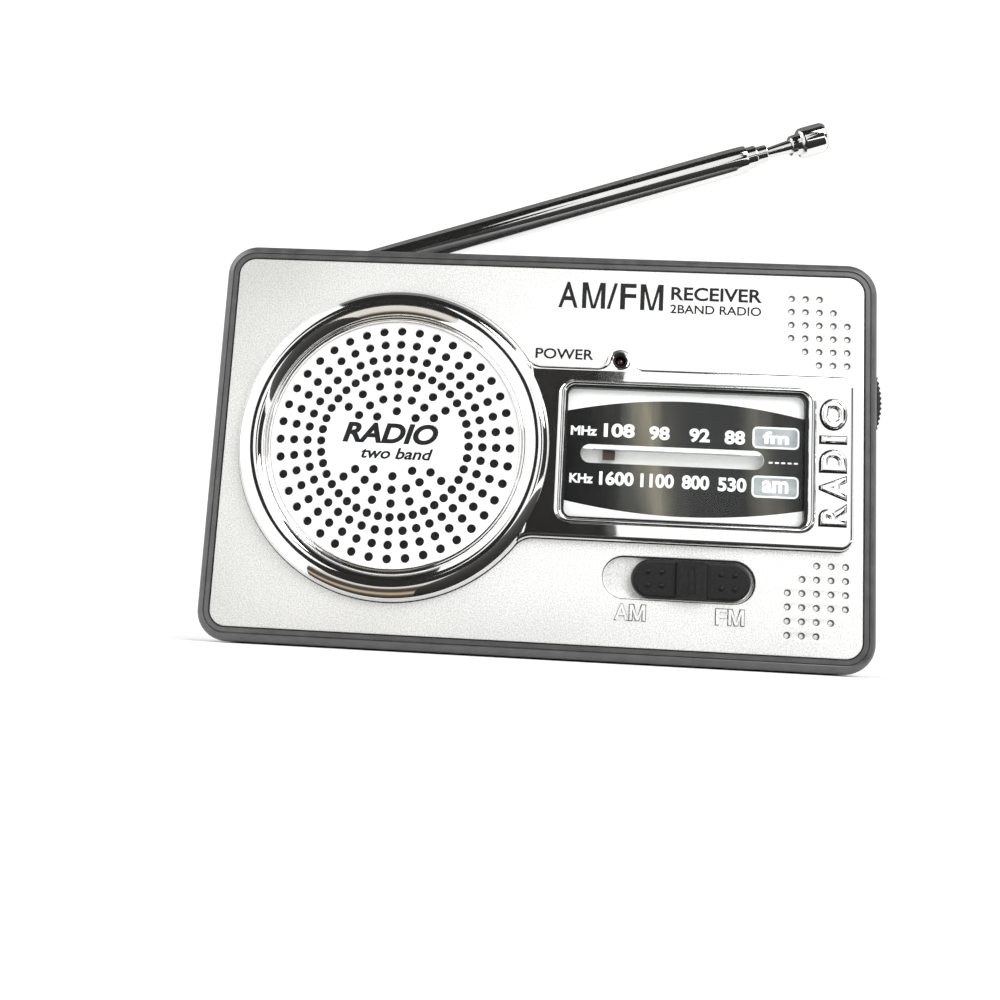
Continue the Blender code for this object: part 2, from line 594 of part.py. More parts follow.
def dial_pointer(gap_x):
    """Pointer flag on an arm from a toothed rack; gap_x is the middle of a gap in the teeth."""
    pitch = math.pi * GEAR_MODULE
    first = math.ceil((POINTER_X - 10.3 - gap_x) / pitch)
    last = math.floor((POINTER_X + 18.6 - gap_x) / pitch)
    root_z = RACK_PITCH_Z - TOOTH_DEDENDUM
    tip_z = RACK_PITCH_Z + TOOTH_ADDENDUM
    half_tip = 0.13 * pitch - TOOTH_BACKLASH / 6
    half_root = 0.36 * pitch - TOOTH_BACKLASH / 2
    outline = [(gap_x + last * pitch, 39.5), (gap_x + last * pitch, root_z)]
    for i in range(last - 1, first - 1, -1):
        middle = gap_x + (i + 0.5) * pitch
        outline += [(middle + half_root, root_z), (middle + half_tip, tip_z),
                    (middle - half_tip, tip_z), (middle - half_root, root_z)]
    outline += [(gap_x + first * pitch, root_z), (gap_x + first * pitch, 39.5)]
    pointer = plate("dial_pointer", [outline], RACK_Y, POINTER_RED)
    side = (POINTER_X - 1.1, POINTER_X + 1.1)
    add(pointer, block("pointer_arm", side, (-11.4, -9.3), (39.55, 40.5)),
        block("pointer_flag", side, (-11.4, -10.7), (36.1, 40.4)))
    hang(pivot("pointer_axis", (POINTER_X, -9.0, RACK_PITCH_Z)), pointer)


def tuning_capacitor():
    centre = (TUNING_X, 0, TUNING_Z)
    body = block("tuning_capacitor", (TUNING_X - 7.6, TUNING_X + 7.6), (-2.1, 4.6),
                 (TUNING_Z - 7.6, TUNING_Z + 7.6), NYLON, 1, 1.0, 2)
    cut(body, rod("capacitor_bore", centre, "Y", (-5.0, -1.2), 3.3, sides=12))


def volume_control():
    """Finger wheel on a small potentiometer, held by a screw."""
    centre = (VOLUME_X, 0, VOLUME_Z)
    wheel = plate("volume_wheel", [knurled(VOLUME_X, VOLUME_Z, VOLUME_R, 0.35, 40),
                  circle(VOLUME_X, VOLUME_Z, 1.6, 12)], VOLUME_Y, KNOB_BLACK)
    screw = rod("volume_screw", centre, "Y", (2.5, 3.4), 2.4, STEEL, 12)
    add(screw, rod("volume_screw_shank", centre, "Y", (-1.6, 2.8), 1.1, sides=8))
    hang(pivot("volume_axis", (VOLUME_X, VOLUME_Y[0], VOLUME_Z)), wheel, screw)
    pot = block("volume_pot", (VOLUME_X - 5.5, VOLUME_X + 5.5), (-2.1, -0.5),
                (VOLUME_Z - 5.5, VOLUME_Z + 5.5), STEEL)
    cut(pot, rod("volume_pot_hole", centre, "Y", (-3.0, 1.0), 1.4, sides=12))


# ---------------------------------------------------------------- speaker
def clip_place(angle):
    turn = math.radians(angle)
    return (SPEAKER_X + CLIP_RADIUS * math.cos(turn), SPEAKER_Z + CLIP_RADIUS * math.sin(turn))


def speaker():
    """Pressed steel basket, paper cone, magnet, and two clips with their screws."""
    centre = (SPEAKER_X, 0, SPEAKER_Z)
    turned("speaker_frame", [(24.4, 9.9), (24.4, 9.2), (21.6, 9.0), (14.2, 2.6), (14.2, 2.0),
                             (8.0, 2.0), (8.0, 2.6), (13.6, 2.9), (20.9, 9.3), (21.4, 9.9)],
           centre, STEEL, 32)
    cone = turned("speaker_cone", [(0.0, 6.8), (6.6, 5.2), (18.9, 9.6), (19.9, 9.6), (19.9, 9.2),
                                   (7.4, 4.2), (7.4, 1.6), (6.8, 1.6), (6.8, 4.6), (0.0, 6.4)],
                  centre, CONE_PAPER, 24, closed=False)
    hang(pivot("speaker_cone_axis", (SPEAKER_X, -6.0, SPEAKER_Z)), cone)
    turned("speaker_magnet", [(0.0, 0.0), (8.0, 0.0), (8.0, 1.7), (13.0, 1.7), (13.0, -3.8),
                              (0.0, -3.8)], centre, FERRITE, 24, closed=False)
    for index, angle in enumerate(CLIP_ANGLES, start=1):
        x, z = clip_place(angle)
        clip = block(f"speaker_clip_{index}", (-5.2, 2.4), (-8.7, -8.1), (-2.4, 2.4), STEEL)
        clip.matrix_world = (Matrix.Translation((x * MM, 0.0, z * MM))
                             @ Matrix.Rotation(-math.radians(angle), 4, "Y"))
        cut(clip, rod(f"clip_hole_{index}", (x, 0, z), "Y", (-9.5, -7.0), 1.1, sides=8))
        screw = rod(f"speaker_screw_{index}", (x, 0, z), "Y", (-7.8, -6.9), 1.8, STEEL, 10)
        add(screw, rod(f"speaker_screw_shank_{index}", (x, 0, z), "Y", (-10.0, -7.4), 0.8,
                       sides=8))


# ---------------------------------------------------------------- electronics
def circuit_board():
    board = block("circuit_board", (4.0, 57.0), BOARD_Y, (3.4, 58.3), BOARD)
    cut(board, rod("board_shaft_hole", (TUNING_X, 0, TUNING_Z), "Y", (-6.0, 0.0), 3.6, sides=16),
        block("board_boss_notch", (CASE_SCREWS[3][0] - 4.0, 60.0), (-6.0, 0.0),
              (0.0, CASE_SCREWS[3][1] + 4.0)))


def board_parts():
    """Three screened coils, a chip and two electrolytic capacitors on the back of the board."""
    for index in range(3):
        x = 8.5 + 9.0 * index
        can = block(f"coil_can_{index + 1}", (x - 3.4, x + 3.4), (-2.1, 5.5), (44.0, 50.8), STEEL)
        cut(can, rod(f"coil_core_{index + 1}", (x, 0, 47.4), "Y", (4.8, 7.0), 1.8, sides=10))
    block("radio_chip", (7.0, 21.0), (-2.1, 0.6), (33.0, 39.0), CONE_PAPER, None, 0.0, 4, 0.3)
    for index, x in enumerate((26.0, 34.0), start=1):
        rod(f"electrolytic_{index}", (x, 0, 35.0), "Y", (-2.1, 7.0), 3.0, CAPACITOR_SLEEVE, 14)
    rod("ferrite_rod", (0, 4.2, 60.5), "X", (-46.0, 4.0), 3.8, FERRITE, 14)
    coil = turned("antenna_coil", [(4.9, 15.0), (4.9, 0.0), (4.1, 0.0), (4.1, 15.0)],
                  (-28.0, 4.2, 60.5), COPPER, 20, axis="X")
    return coil


def earphone_jack():
    body = block("earphone_jack", (-58.0, -46.5), (JACK_Y - 3, JACK_Y + 3),
                 (JACK_Z - 3, JACK_Z + 3), KNOB_BLACK)
    add(body, rod("jack_nose", (0, JACK_Y, JACK_Z), "X", (-60.2, -57.0), 2.1, sides=14))
    cut(body, rod("jack_bore", (0, JACK_Y, JACK_Z), "X", (-70.0, -48.0), 1.6, sides=12))


def batteries():
    """Two cells head to tail, with a coil spring at each minus end and a plate at each plus end."""
    middle = (BAY_X[0] + BAY_X[1]) / 2
    for index, z in enumerate(CELL_Z, start=1):
        side = 1 if index == 1 else -1
        tip = side * (CELL_LENGTH / 2) + middle + side * 1.6
        profile = [(0.0, CELL_LENGTH), (1.9, CELL_LENGTH), (1.9, CELL_LENGTH - 0.9),
                   (4.7, CELL_LENGTH - 0.9), (CELL_R, CELL_LENGTH - 1.5), (CELL_R, 0.4),
                   (4.6, 0.0), (0.0, 0.0)]
        cell = turned(f"battery_cell_{index}", profile, (tip - side * CELL_LENGTH, CELL_Y, z),
                      CELL_SLEEVE, 20, closed=False, axis="X")
        if side < 0:
            cell.matrix_world = (Matrix.Translation(((tip + CELL_LENGTH) * MM, CELL_Y * MM, z * MM))
                                 @ Matrix.Rotation(math.radians(-90), 4, "Y"))
        plus_wall = middle + side * 25.0
        x = sorted((plus_wall - side * 0.9, plus_wall - side * GAP))
        block(f"battery_plate_{index}", x, (1.5, 9.0), (z - 3.6, z + 3.6), STEEL)
        battery_spring(index, middle - side * 24.6, tip - side * (CELL_LENGTH + 0.4), z)


def battery_spring(index, wall_x, cell_x, z):
    """Conical wire spring between the bay's end wall and the cell's flat end."""
    wire_r = 0.3
    turns = 2.5
    per_turn = 10
    count = int(turns * per_turn)
    side = math.copysign(1.0, cell_x - wall_x)
    length = abs(cell_x - wall_x) - 2 * wire_r
    curve = bpy.data.curves.new(f"battery_spring_{index}", "CURVE")
    curve.dimensions = "3D"
    curve.bevel_depth = wire_r * MM
    curve.bevel_resolution = 1
    curve.use_fill_caps = True
    spline = curve.splines.new("POLY")
    spline.points.add(count)
    for i, point in enumerate(spline.points):
        part = i / count
        angle = 2 * math.pi * turns * part
        radius = 3.6 - 1.5 * part
        x = wall_x + side * (wire_r + length * part)
        point.co = (x * MM, (CELL_Y + radius * math.cos(angle)) * MM,
                    (z + radius * math.sin(angle)) * MM, 1.0)
    source = bpy.data.objects.new(f"battery_spring_{index}_wire", curve)
    CUTTERS.objects.link(source)
    return solid_from_curve(f"battery_spring_{index}", source, STEEL)


# ---------------------------------------------------------------- antenna
def antenna_mount():
    """Stud that swivels in the ledge, with two ears for the antenna's pin, and its nut."""
    place = (ANTENNA_X, ANTENNA_Y, 0)
    top = ANTENNA_Z + 2.2
    mount = rod("antenna_mount", place, "Z", (LEDGE_Z + GAP, 69.1), 3.1, CHROME, 20)
    for index, side in enumerate((-1, 1), start=1):
        y = sorted((ANTENNA_Y + side * 1.4, ANTENNA_Y + side * 2.7))
        ear = block(f"antenna_ear_{index}", (ANTENNA_X - 2.2, ANTENNA_X + 2.2), y, (68.8, top),
                    None, 1, 1.5, 3)
        add(mount, ear)
    add(mount, rod("antenna_stud", place, "Z", (63.4, 69.0), 2.0, sides=12))
    cut(mount, rod("antenna_pin_hole", (ANTENNA_X, 0, ANTENNA_Z), "Y", (0.0, 12.0), 1.1, sides=12))
    nut = plate_nut("antenna_nut", place, (63.5, 66.2))
    pin = rod("antenna_pin", (ANTENNA_X, 0, ANTENNA_Z), "Y", (ANTENNA_Y - 2.9, ANTENNA_Y + 2.9),
              0.8, STEEL, 12)
    hang(pivot("antenna_swivel_axis", (ANTENNA_X, ANTENNA_Y, LEDGE_Z)), mount, nut, pin)


def plate_nut(name, place, z):
    """Six-sided collar below the ledge, clear of the stud."""
    nut = rod(name, place, "Z", z, 3.2, STEEL, 6)
    return cut(nut, rod(name + "_bore", place, "Z", (z[0] - 2, z[1] + 2), 2.3, sides=12))


def local_tube(name, outer_r, inner_r, span, mat, sides=16):
    """A tube along the antenna's own X axis."""
    tube = turned(name, [(outer_r, span[1]), (outer_r, span[0]), (inner_r, span[0]),
                         (inner_r, span[1])], (0, 0, 0), mat, sides, axis="X")
    return tube


def antenna():
    """Foot, three telescoping tubes, the rod and its cap, modelled along X from the pivot."""
    tilt = pivot("antenna_tilt_axis", (ANTENNA_X, ANTENNA_Y, ANTENNA_Z), ANTENNA_TILT)
    foot = rod("antenna_foot", (0, 0, 0), "Y", (-1.1, 1.1), 2.2, CHROME, 20)
    add(foot, block("foot_tongue", (0.5, 4.0), (-1.1, 1.1), (-1.9, 1.9)),
        rod("foot_plug", (0, 0, 0), "X", (3.6, 9.0), 2.1, sides=12))
    cut(foot, rod("foot_bore", (0, 0, 0), "Y", (-3.0, 3.0), 1.1, sides=12))
    outer, middle, inner = TUBE_RADII
    tube_1 = local_tube("antenna_tube_1", *outer, (TUBE_START, TUBE_ENDS[0]), CHROME, 20)
    tube_2 = local_tube("antenna_tube_2", *middle, (9.6, TUBE_ENDS[1]), CHROME)
    tube_3 = local_tube("antenna_tube_3", *inner, (11.0, TUBE_ENDS[2]), CHROME)
    wire = rod("antenna_rod", (0, 0, 0), "X", (12.5, CAP_START - 0.3), ROD_R, CHROME, 12)
    cap = turned("antenna_cap", [(0.0, ANTENNA_LENGTH), (CAP_R - 0.4, ANTENNA_LENGTH),
                                 (CAP_R, ANTENNA_LENGTH - 0.6), (CAP_R, CAP_START + 0.9),
                                 (CAP_R - 0.3, CAP_START + 0.4), (1.9, CAP_START),
                                 (0.0, CAP_START)],
                 (0, 0, 0), CHROME, 20, closed=False, axis="X")
    local = (foot, tube_1, tube_2, tube_3, wire, cap)
    hang_local(tilt, *local)
    for cutter in ("foot_tongue", "foot_plug", "foot_bore"):
        hang_local(tilt, bpy.data.objects[cutter])


# ---------------------------------------------------------------- the whole radio
def build():
    front_cabinet()
    rear_cover()
    battery_door()
    case_screws()
    front_panel()
    chrome_trim()
    speaker_grille()
    dial()
    power_led()
    band_switch()
    tuning_drive()
    tuning_capacitor()
    volume_control()
    speaker()
    circuit_board()
    board_parts()
    earphone_jack()
    batteries()
    antenna_mount()
    antenna()
    for obj in PARTS.objects:
        if obj.type == "MESH":
            obj.data.shade_smooth()
            obj.data.set_sharp_from_angle(angle=math.radians(35))


build()
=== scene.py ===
"""Looks of the pocket two-band radio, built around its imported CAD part.

Sizes are in millimetres until they reach a mesh, where MM turns them into metres. X runs to the
right, Y to the back and Z up, as in the part; the front faces -Y. Heights on the front face are
measured out from the panel's face, towards the viewer.
"""
import json
import math

import bmesh
import bpy
from mathutils import Euler, Matrix, Vector
from mathutils.geometry import tessellate_polygon


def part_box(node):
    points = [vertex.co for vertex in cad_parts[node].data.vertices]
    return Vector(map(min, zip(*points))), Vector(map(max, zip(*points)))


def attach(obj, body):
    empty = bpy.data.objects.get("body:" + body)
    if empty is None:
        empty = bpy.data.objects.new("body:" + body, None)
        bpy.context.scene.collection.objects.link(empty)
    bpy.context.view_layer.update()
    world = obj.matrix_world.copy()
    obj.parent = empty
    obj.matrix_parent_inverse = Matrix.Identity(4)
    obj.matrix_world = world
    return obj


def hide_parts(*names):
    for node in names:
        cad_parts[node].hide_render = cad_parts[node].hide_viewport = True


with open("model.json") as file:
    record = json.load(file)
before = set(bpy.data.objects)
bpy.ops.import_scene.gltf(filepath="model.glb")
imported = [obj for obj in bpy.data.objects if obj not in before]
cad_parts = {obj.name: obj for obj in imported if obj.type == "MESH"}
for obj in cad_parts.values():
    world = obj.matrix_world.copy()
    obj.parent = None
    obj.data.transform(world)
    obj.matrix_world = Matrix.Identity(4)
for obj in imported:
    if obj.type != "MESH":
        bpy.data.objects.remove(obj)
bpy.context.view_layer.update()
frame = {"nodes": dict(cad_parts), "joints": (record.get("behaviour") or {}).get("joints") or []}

MM = 0.001


def limits(node):
    """A CAD node's lowest and highest corner in millimetres."""
    low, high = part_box(node)
    return low / MM, high / MM


# ---------------------------------------------------------------- sizes
CASE_LOW, CASE_HIGH = limits("rear_cover")
HALF_W = CASE_HIGH.x
MIDDLE_Z = (CASE_LOW.z + CASE_HIGH.z) / 2
HALF_H = MIDDLE_Z - CASE_LOW.z
SPLIT_FRONT = limits("front_cabinet")[1].y
SPLIT_BACK = CASE_LOW.y
BACK_Y = CASE_HIGH.y
RIM_Y = limits("front_cabinet")[0].y
WALL = 1.6
CASE_CORNER = 5.6
BACK_ROUND = 2.2
FRONT_DRAFT = 0.25

PANEL_LOW, PANEL_HIGH = limits("front_panel")
PANEL_Y = PANEL_LOW.y
PANEL_THICK = 0.8
PANEL_CORNER = 3.0
POCKET_Y = -11.4

GRILLE_LOW, GRILLE_HIGH = limits("speaker_grille")
SPEAKER_X = (GRILLE_LOW.x + GRILLE_HIGH.x) / 2
SPEAKER_Z = (GRILLE_LOW.z + GRILLE_HIGH.z) / 2
GRILLE_R = (GRILLE_HIGH.x - GRILLE_LOW.x) / 2
RING_R = 28.5
RING_RISE = 2.5

FRAME_X = (-2.6, 55.2)
FRAME_Z = (21.3, 52.4)
FRAME_CORNER = 2.4
FRAME_RISE = 1.7
NECK_FILLET = 4.0
WINDOW_X = (4.6, 47.0)
WINDOW_Z = (25.0, 48.9)
WINDOW_CORNER = 1.6
LIP_X = (3.2, 48.5)
LIP_Z = (24.1, 49.7)
LED_LOW, LED_HIGH = limits("power_led")
LED_X = (LED_LOW.x + LED_HIGH.x) / 2
LED_Z = (LED_LOW.z + LED_HIGH.z) / 2
BUMP_R = 2.3
BUMP_FILLET = 1.8
LED_HOLE_R = 1.1

RECESS_X = (12.2, 38.8)
RECESS_Z = (11.3, 18.9)
RECESS_FLOOR = -11.3
KNOB_LOW, KNOB_HIGH = limits("band_switch_knob")

SCALE_LOW, SCALE_HIGH = limits("dial_scale")
SLOT_X = (7.5, 39.9)
SLOT_Z = (35.2, 38.6)


# ---------------------------------------------------------------- outlines
def arc(cx, cz, radius, start, end, count):
    """Points on an arc from start to end, in degrees, both ends included."""
    points = []
    for i in range(count + 1):
        angle = math.radians(start + (end - start) * i / count)
        points.append((cx + radius * math.cos(angle), cz + radius * math.sin(angle)))
    return points


def circle(cx, cz, radius, count):
    return arc(cx, cz, radius, 0, 360, count)[:-1]


def rounded(x, z, radius, count=8):
    """A rectangle with round corners, anticlockwise seen from the front."""
    points = []
    for cx, cz, start in ((x[1] - radius, z[1] - radius, 0), (x[0] + radius, z[1] - radius, 90),
                          (x[0] + radius, z[0] + radius, 180), (x[1] - radius, z[0] + radius, 270)):
        points += arc(cx, cz, radius, start, start + 90, count)
    return points


def shifted(loop, distance):
    """The anticlockwise loop moved outwards by a distance, its corners mitred."""
    moved = []
    count = len(loop)
    for i in range(count):
        before, here, after = (Vector(loop[(i + k) % count]) for k in (-1, 0, 1))
        first, second = (here - before).normalized(), (after - here).normalized()
        out = Vector((first.y + second.y, -first.x - second.x))
        out *= distance / (1.0 + first.dot(second))
        moved.append((here.x + out.x, here.y + out.y))
    return moved


def angle_of(dx, dz):
    return math.degrees(math.atan2(dz, dx))


def trim_outline():
    """Anticlockwise edge of the chrome trim: ring, fillets into the dial frame, LED bump."""
    reach = RING_R + NECK_FILLET
    low, high = FRAME_Z
    low_dz = low - NECK_FILLET - SPEAKER_Z
    low_dx = math.sqrt(reach ** 2 - low_dz ** 2)
    high_dz = high + NECK_FILLET - SPEAKER_Z
    high_dx = math.sqrt(reach ** 2 - high_dz ** 2)
    low_angle, high_angle = angle_of(low_dx, low_dz), angle_of(high_dx, high_dz)
    bump_dz = high + BUMP_FILLET - LED_Z
    bump_dx = math.sqrt((BUMP_R + BUMP_FILLET) ** 2 - bump_dz ** 2)
    bump_angle = angle_of(bump_dx, bump_dz)
    corner = FRAME_CORNER
    right = FRAME_X[1] - corner
    loop = arc(SPEAKER_X, SPEAKER_Z, RING_R, high_angle, 360 + low_angle, 120)
    loop += arc(SPEAKER_X + low_dx, low - NECK_FILLET, NECK_FILLET, 180 + low_angle, 90, 10)
    loop += arc(right, low + corner, corner, -90, 0, 8)
    loop += arc(right, high - corner, corner, 0, 90, 8)
    loop += arc(LED_X + bump_dx, high + BUMP_FILLET, BUMP_FILLET, -90, -180 + bump_angle, 8)
    loop += arc(LED_X, LED_Z, BUMP_R, bump_angle, 180 - bump_angle, 20)
    loop += arc(LED_X - bump_dx, high + BUMP_FILLET, BUMP_FILLET, -bump_angle, -90, 8)
    loop += arc(SPEAKER_X + high_dx, high + NECK_FILLET, NECK_FILLET, -90, -180 + high_angle, 10)
    return loop


# ---------------------------------------------------------------- materials
def base_material(name, metallic=0.0, **sockets):
    """A Principled material and its node tree; sockets are values that hold all over."""
    mat = bpy.data.materials.new(name)
    mat.use_nodes = True
    shader = mat.node_tree.nodes["Principled BSDF"]
    shader.inputs["Metallic"].default_value = metallic
    for socket, value in sockets.items():
        shader.inputs[socket.replace("_", " ")].default_value = value
    return mat, mat.node_tree, shader


def node(tree, kind, inputs=(), **settings):
    """A new node: inputs gives its socket values, settings its other properties."""
    made = tree.nodes.new("ShaderNode" + kind)
    for key, value in settings.items():
        setattr(made, key, value)
    for key, value in dict(inputs).items():
        made.inputs[key].default_value = value
    return made


def noise(tree, size, stretch=(1, 1, 1), detail=4.0, roughness=0.55):
    """Noise whose patches are about size millimetres across, drawn out by stretch."""
    place = node(tree, "TexCoord")
    scale = node(tree, "Mapping", {"Scale": [1.0 / s for s in stretch]})
    grain = node(tree, "TexNoise", {"Scale": 1.0 / (size * MM), "Detail": detail,
                                    "Roughness": roughness})
    tree.links.new(place.outputs["Object"], scale.inputs["Vector"])
    tree.links.new(scale.outputs["Vector"], grain.inputs["Vector"])
    return grain.outputs["Fac"]


def ramp(tree, source, stops):
    """Colours along a source value: stops are (position, colour)."""
    made = node(tree, "ValToRGB")
    elements = made.color_ramp.elements
    while len(elements) < len(stops):
        elements.new(0.5)
    for element, (position, colour) in zip(elements, stops):
        element.position = position
        element.color = (*colour, 1.0)
    tree.links.new(source, made.inputs["Fac"])
    return made.outputs["Color"]


def spread(tree, source, low, high, start=0.3, end=0.7):
    """A source value between start and end, mapped to low...high."""
    made = node(tree, "MapRange", {"From Min": start, "From Max": end, "To Min": low,
                                   "To Max": high})
    tree.links.new(source, made.inputs["Value"])
    return made.outputs["Result"]


def bump(tree, shader, source, depth):
    """Bump of a depth in millimetres."""
    made = node(tree, "Bump", {"Strength": 1.0, "Distance": depth * MM})
    tree.links.new(source, made.inputs["Height"])
    tree.links.new(made.outputs["Normal"], shader.inputs["Normal"])


def surface(name, dark, light, rough, size, metallic=0.0, stretch=(1, 1, 1), relief=0.0,
            relief_size=None, **sockets):
    """A worn or grained finish: colour and roughness vary in patches, relief is a fine bump."""
    mat, tree, shader = base_material(name, metallic, **sockets)
    patches = noise(tree, size, stretch)
    tree.links.new(ramp(tree, patches, ((0.3, dark), (0.7, light))), shader.inputs["Base Color"])
    tree.links.new(spread(tree, patches, rough[0], rough[1]), shader.inputs["Roughness"])
    if relief:
        bump(tree, shader, noise(tree, relief_size or size, stretch), relief)
    return mat


def panel_silver():
    """Metallic silver paint: fine flakes, and a painted shade, a slow fall of tone towards the far
    corners.
    """
    mat, tree, shader = base_material("panel_silver", 0.30)
    flakes = ramp(tree, noise(tree, 0.24, detail=2.0), ((0.34, (0.66, 0.66, 0.645)),
                                                         (0.62, (0.97, 0.97, 0.96))))
    # Painted shade: the tone falls with distance from a point right of the panel's middle.
    place = node(tree, "Mapping", {"Location": (-0.41, 0.0, -0.80),
                                   "Scale": (1 / 0.085, 0.0, 1 / 0.046)})
    tree.links.new(node(tree, "TexCoord").outputs["Object"], place.inputs["Vector"])
    painted_shade_distance = node(tree, "VectorMath", operation="LENGTH")
    tree.links.new(place.outputs["Vector"], painted_shade_distance.inputs[0])
    wander = node(tree, "Math", operation="ADD")
    tree.links.new(painted_shade_distance.outputs["Value"], wander.inputs[0])
    tree.links.new(spread(tree, noise(tree, 30.0, detail=1.0), -0.12, 0.12), wander.inputs[1])
    tone = ramp(tree, spread(tree, wander.outputs["Value"], 0.0, 1.0, 0.3, 1.35),
                ((0.0, (1.0, 1.0, 1.0)), (0.35, (0.93, 0.93, 0.925)), (1.0, (0.60, 0.60, 0.585))))
    mix = node(tree, "Mix", {"Factor": 1.0}, data_type="RGBA", blend_type="MULTIPLY")
    tree.links.new(flakes, mix.inputs["A"])
    tree.links.new(tone, mix.inputs["B"])
    tree.links.new(mix.outputs["Result"], shader.inputs["Base Color"])
    tree.links.new(spread(tree, noise(tree, 0.35), 0.34, 0.46), shader.inputs["Roughness"])
    bump(tree, shader, noise(tree, 0.18, detail=2.0), 0.006)
    return mat


def bright_plating(name, dark, light, waviness=0.004):
    """Vacuum plated plastic: a mirror with a slow waviness and the odd dull patch."""
    mat, tree, shader = base_material(name, 1.0)
    tone = noise(tree, 9.0)
    tree.links.new(ramp(tree, tone, ((0.3, dark), (0.7, light))), shader.inputs["Base Color"])
    tree.links.new(spread(tree, noise(tree, 4.0, detail=6.0), 0.025, 0.075),
                   shader.inputs["Roughness"])
    bump(tree, shader, noise(tree, 5.0, detail=1.0), waviness)
    return mat


def dial_black():
    """Black print on the dial with two soft warm painted reflections across it, and fine upright
    brush lines.
    """
    mat, tree, shader = base_material("dial_black", 0.0, Specular_IOR_Level=0.12)
    place = node(tree, "TexCoord")
    split = node(tree, "SeparateXYZ")
    tree.links.new(place.outputs["Object"], split.inputs["Vector"])
    wander = spread(tree, noise(tree, 6.0, (1, 1, 4), detail=3.0), -0.0012, 0.0012)
    shift = node(tree, "Math", operation="ADD")
    tree.links.new(split.outputs["X"], shift.inputs[0])
    tree.links.new(wander, shift.inputs[1])
    lean = node(tree, "Math", {1: 0.14}, operation="MULTIPLY_ADD")
    tree.links.new(split.outputs["Z"], lean.inputs[0])
    tree.links.new(shift.outputs["Value"], lean.inputs[2])
    offset = 0.14 * (SCALE_LOW.z + SCALE_HIGH.z) / 2
    along = spread(tree, lean.outputs["Value"], 0.0, 1.0, (SCALE_LOW.x + offset) * MM,
                   (SCALE_HIGH.x + offset) * MM)
    # Painted reflection: a warm streak and a fainter pale one run across the black, leaning a
    # little, at fixed places along X.
    black, grey, warm = (0.012, 0.012, 0.012), (0.045, 0.044, 0.038), (0.20, 0.18, 0.135)
    painted_sheen = ramp(tree, along, ((0.0, black), (0.16, (0.016, 0.016, 0.016)), (0.28, grey),
                               (0.37, warm), (0.44, grey), (0.52, (0.016, 0.016, 0.016)),
                               (0.72, black), (0.81, (0.085, 0.08, 0.065)), (0.88, black)))
    lines = ramp(tree, noise(tree, 0.12, (1, 1, 60), detail=2.0),
                 ((0.3, (0.72, 0.72, 0.72)), (0.7, (1.0, 1.0, 1.0))))
    mix = node(tree, "Mix", {"Factor": 1.0}, data_type="RGBA", blend_type="MULTIPLY")
    tree.links.new(painted_sheen, mix.inputs["A"])
    tree.links.new(lines, mix.inputs["B"])
    tree.links.new(mix.outputs["Result"], shader.inputs["Base Color"])
    tree.links.new(spread(tree, noise(tree, 0.3, (1, 1, 20)), 0.28, 0.45),
                   shader.inputs["Roughness"])
    return mat


def clear_window():
    """Thin clear plastic: mostly see-through, with a gloss that grows at shallow angles."""
    mat = bpy.data.materials.new("clear_window")
    mat.use_nodes = True
    tree = mat.node_tree
    tree.nodes.clear()
    output = node(tree, "OutputMaterial")
    through = node(tree, "BsdfTransparent", {"Color": (0.995, 1.0, 0.998, 1.0)})
    gloss = node(tree, "BsdfGlossy", {"Color": (1, 1, 1, 1)})
    tree.links.new(spread(tree, noise(tree, 3.0), 0.02, 0.06), gloss.inputs["Roughness"])
    edge = node(tree, "LayerWeight", {"Blend": 0.5})
    steep = node(tree, "Math", {1: 5.0}, operation="POWER")
    tree.links.new(edge.outputs["Facing"], steep.inputs[0])
    mix = node(tree, "MixShader")
    tree.links.new(spread(tree, steep.outputs["Value"], 0.012, 1.0, 0.0, 1.0), mix.inputs["Fac"])
    tree.links.new(through.outputs["BSDF"], mix.inputs[1])
    tree.links.new(gloss.outputs["BSDF"], mix.inputs[2])
    tree.links.new(mix.outputs["Shader"], output.inputs["Surface"])
    return mat


CASE_BLACK = surface("case_plastic", (0.024, 0.024, 0.025), (0.040, 0.040, 0.042), (0.30, 0.44),
                     1.6, relief=0.012, relief_size=0.25)
RIM_BLACK = surface("rim_plastic", (0.046, 0.046, 0.047), (0.068, 0.068, 0.069), (0.28, 0.38),
                    2.4, relief=0.004, relief_size=0.4, Specular_IOR_Level=0.8)
SILVER = panel_silver()
CHROME = bright_plating("chrome_plating", (0.90, 0.90, 0.89), (0.97, 0.97, 0.965), 0.016)
TUBE_CHROME = bright_plating("tube_chrome", (0.66, 0.66, 0.655), (0.78, 0.78, 0.77), 0.002)
GRILLE_WHITE = surface("grille_lacquer", (0.83, 0.83, 0.825), (0.90, 0.90, 0.895), (0.36, 0.46),
                       0.4, 0.1, relief=0.004)
PLATE_SILVER = surface("dial_silver", (0.88, 0.88, 0.87), (0.97, 0.97, 0.965), (0.30, 0.42),
                       0.25, 0.1, relief=0.001)
DIAL_BLACK = dial_black()
PRINT_WHITE = surface("white_ink", (0.84, 0.84, 0.83), (0.93, 0.93, 0.92), (0.45, 0.6), 0.6)
PRINT_GREY = surface("grey_ink", (0.20, 0.22, 0.23), (0.42, 0.44, 0.45), (0.45, 0.6), 3.0)
PRINT_DARK = surface("dark_ink", (0.008, 0.008, 0.009), (0.020, 0.020, 0.022), (0.4, 0.55), 0.5,
                     Specular_IOR_Level=0.15)
WINDOW = clear_window()
STRIP_WHITE = surface("strip_white", (0.96, 0.96, 0.95), (1.0, 1.0, 0.99), (0.45, 0.55), 1.2)
SHADE = surface("shade_grey", (0.055, 0.055, 0.055), (0.10, 0.10, 0.098), (0.4, 0.55), 0.6)
POINTER = surface("pointer_paint", (0.034, 0.019, 0.016), (0.060, 0.030, 0.024), (0.35, 0.5), 0.8)
KNOB_BLACK = surface("knob_plastic", (0.007, 0.007, 0.008), (0.015, 0.015, 0.016), (0.36, 0.52),
                     0.5, relief=0.010, relief_size=0.16, Specular_IOR_Level=0.3)
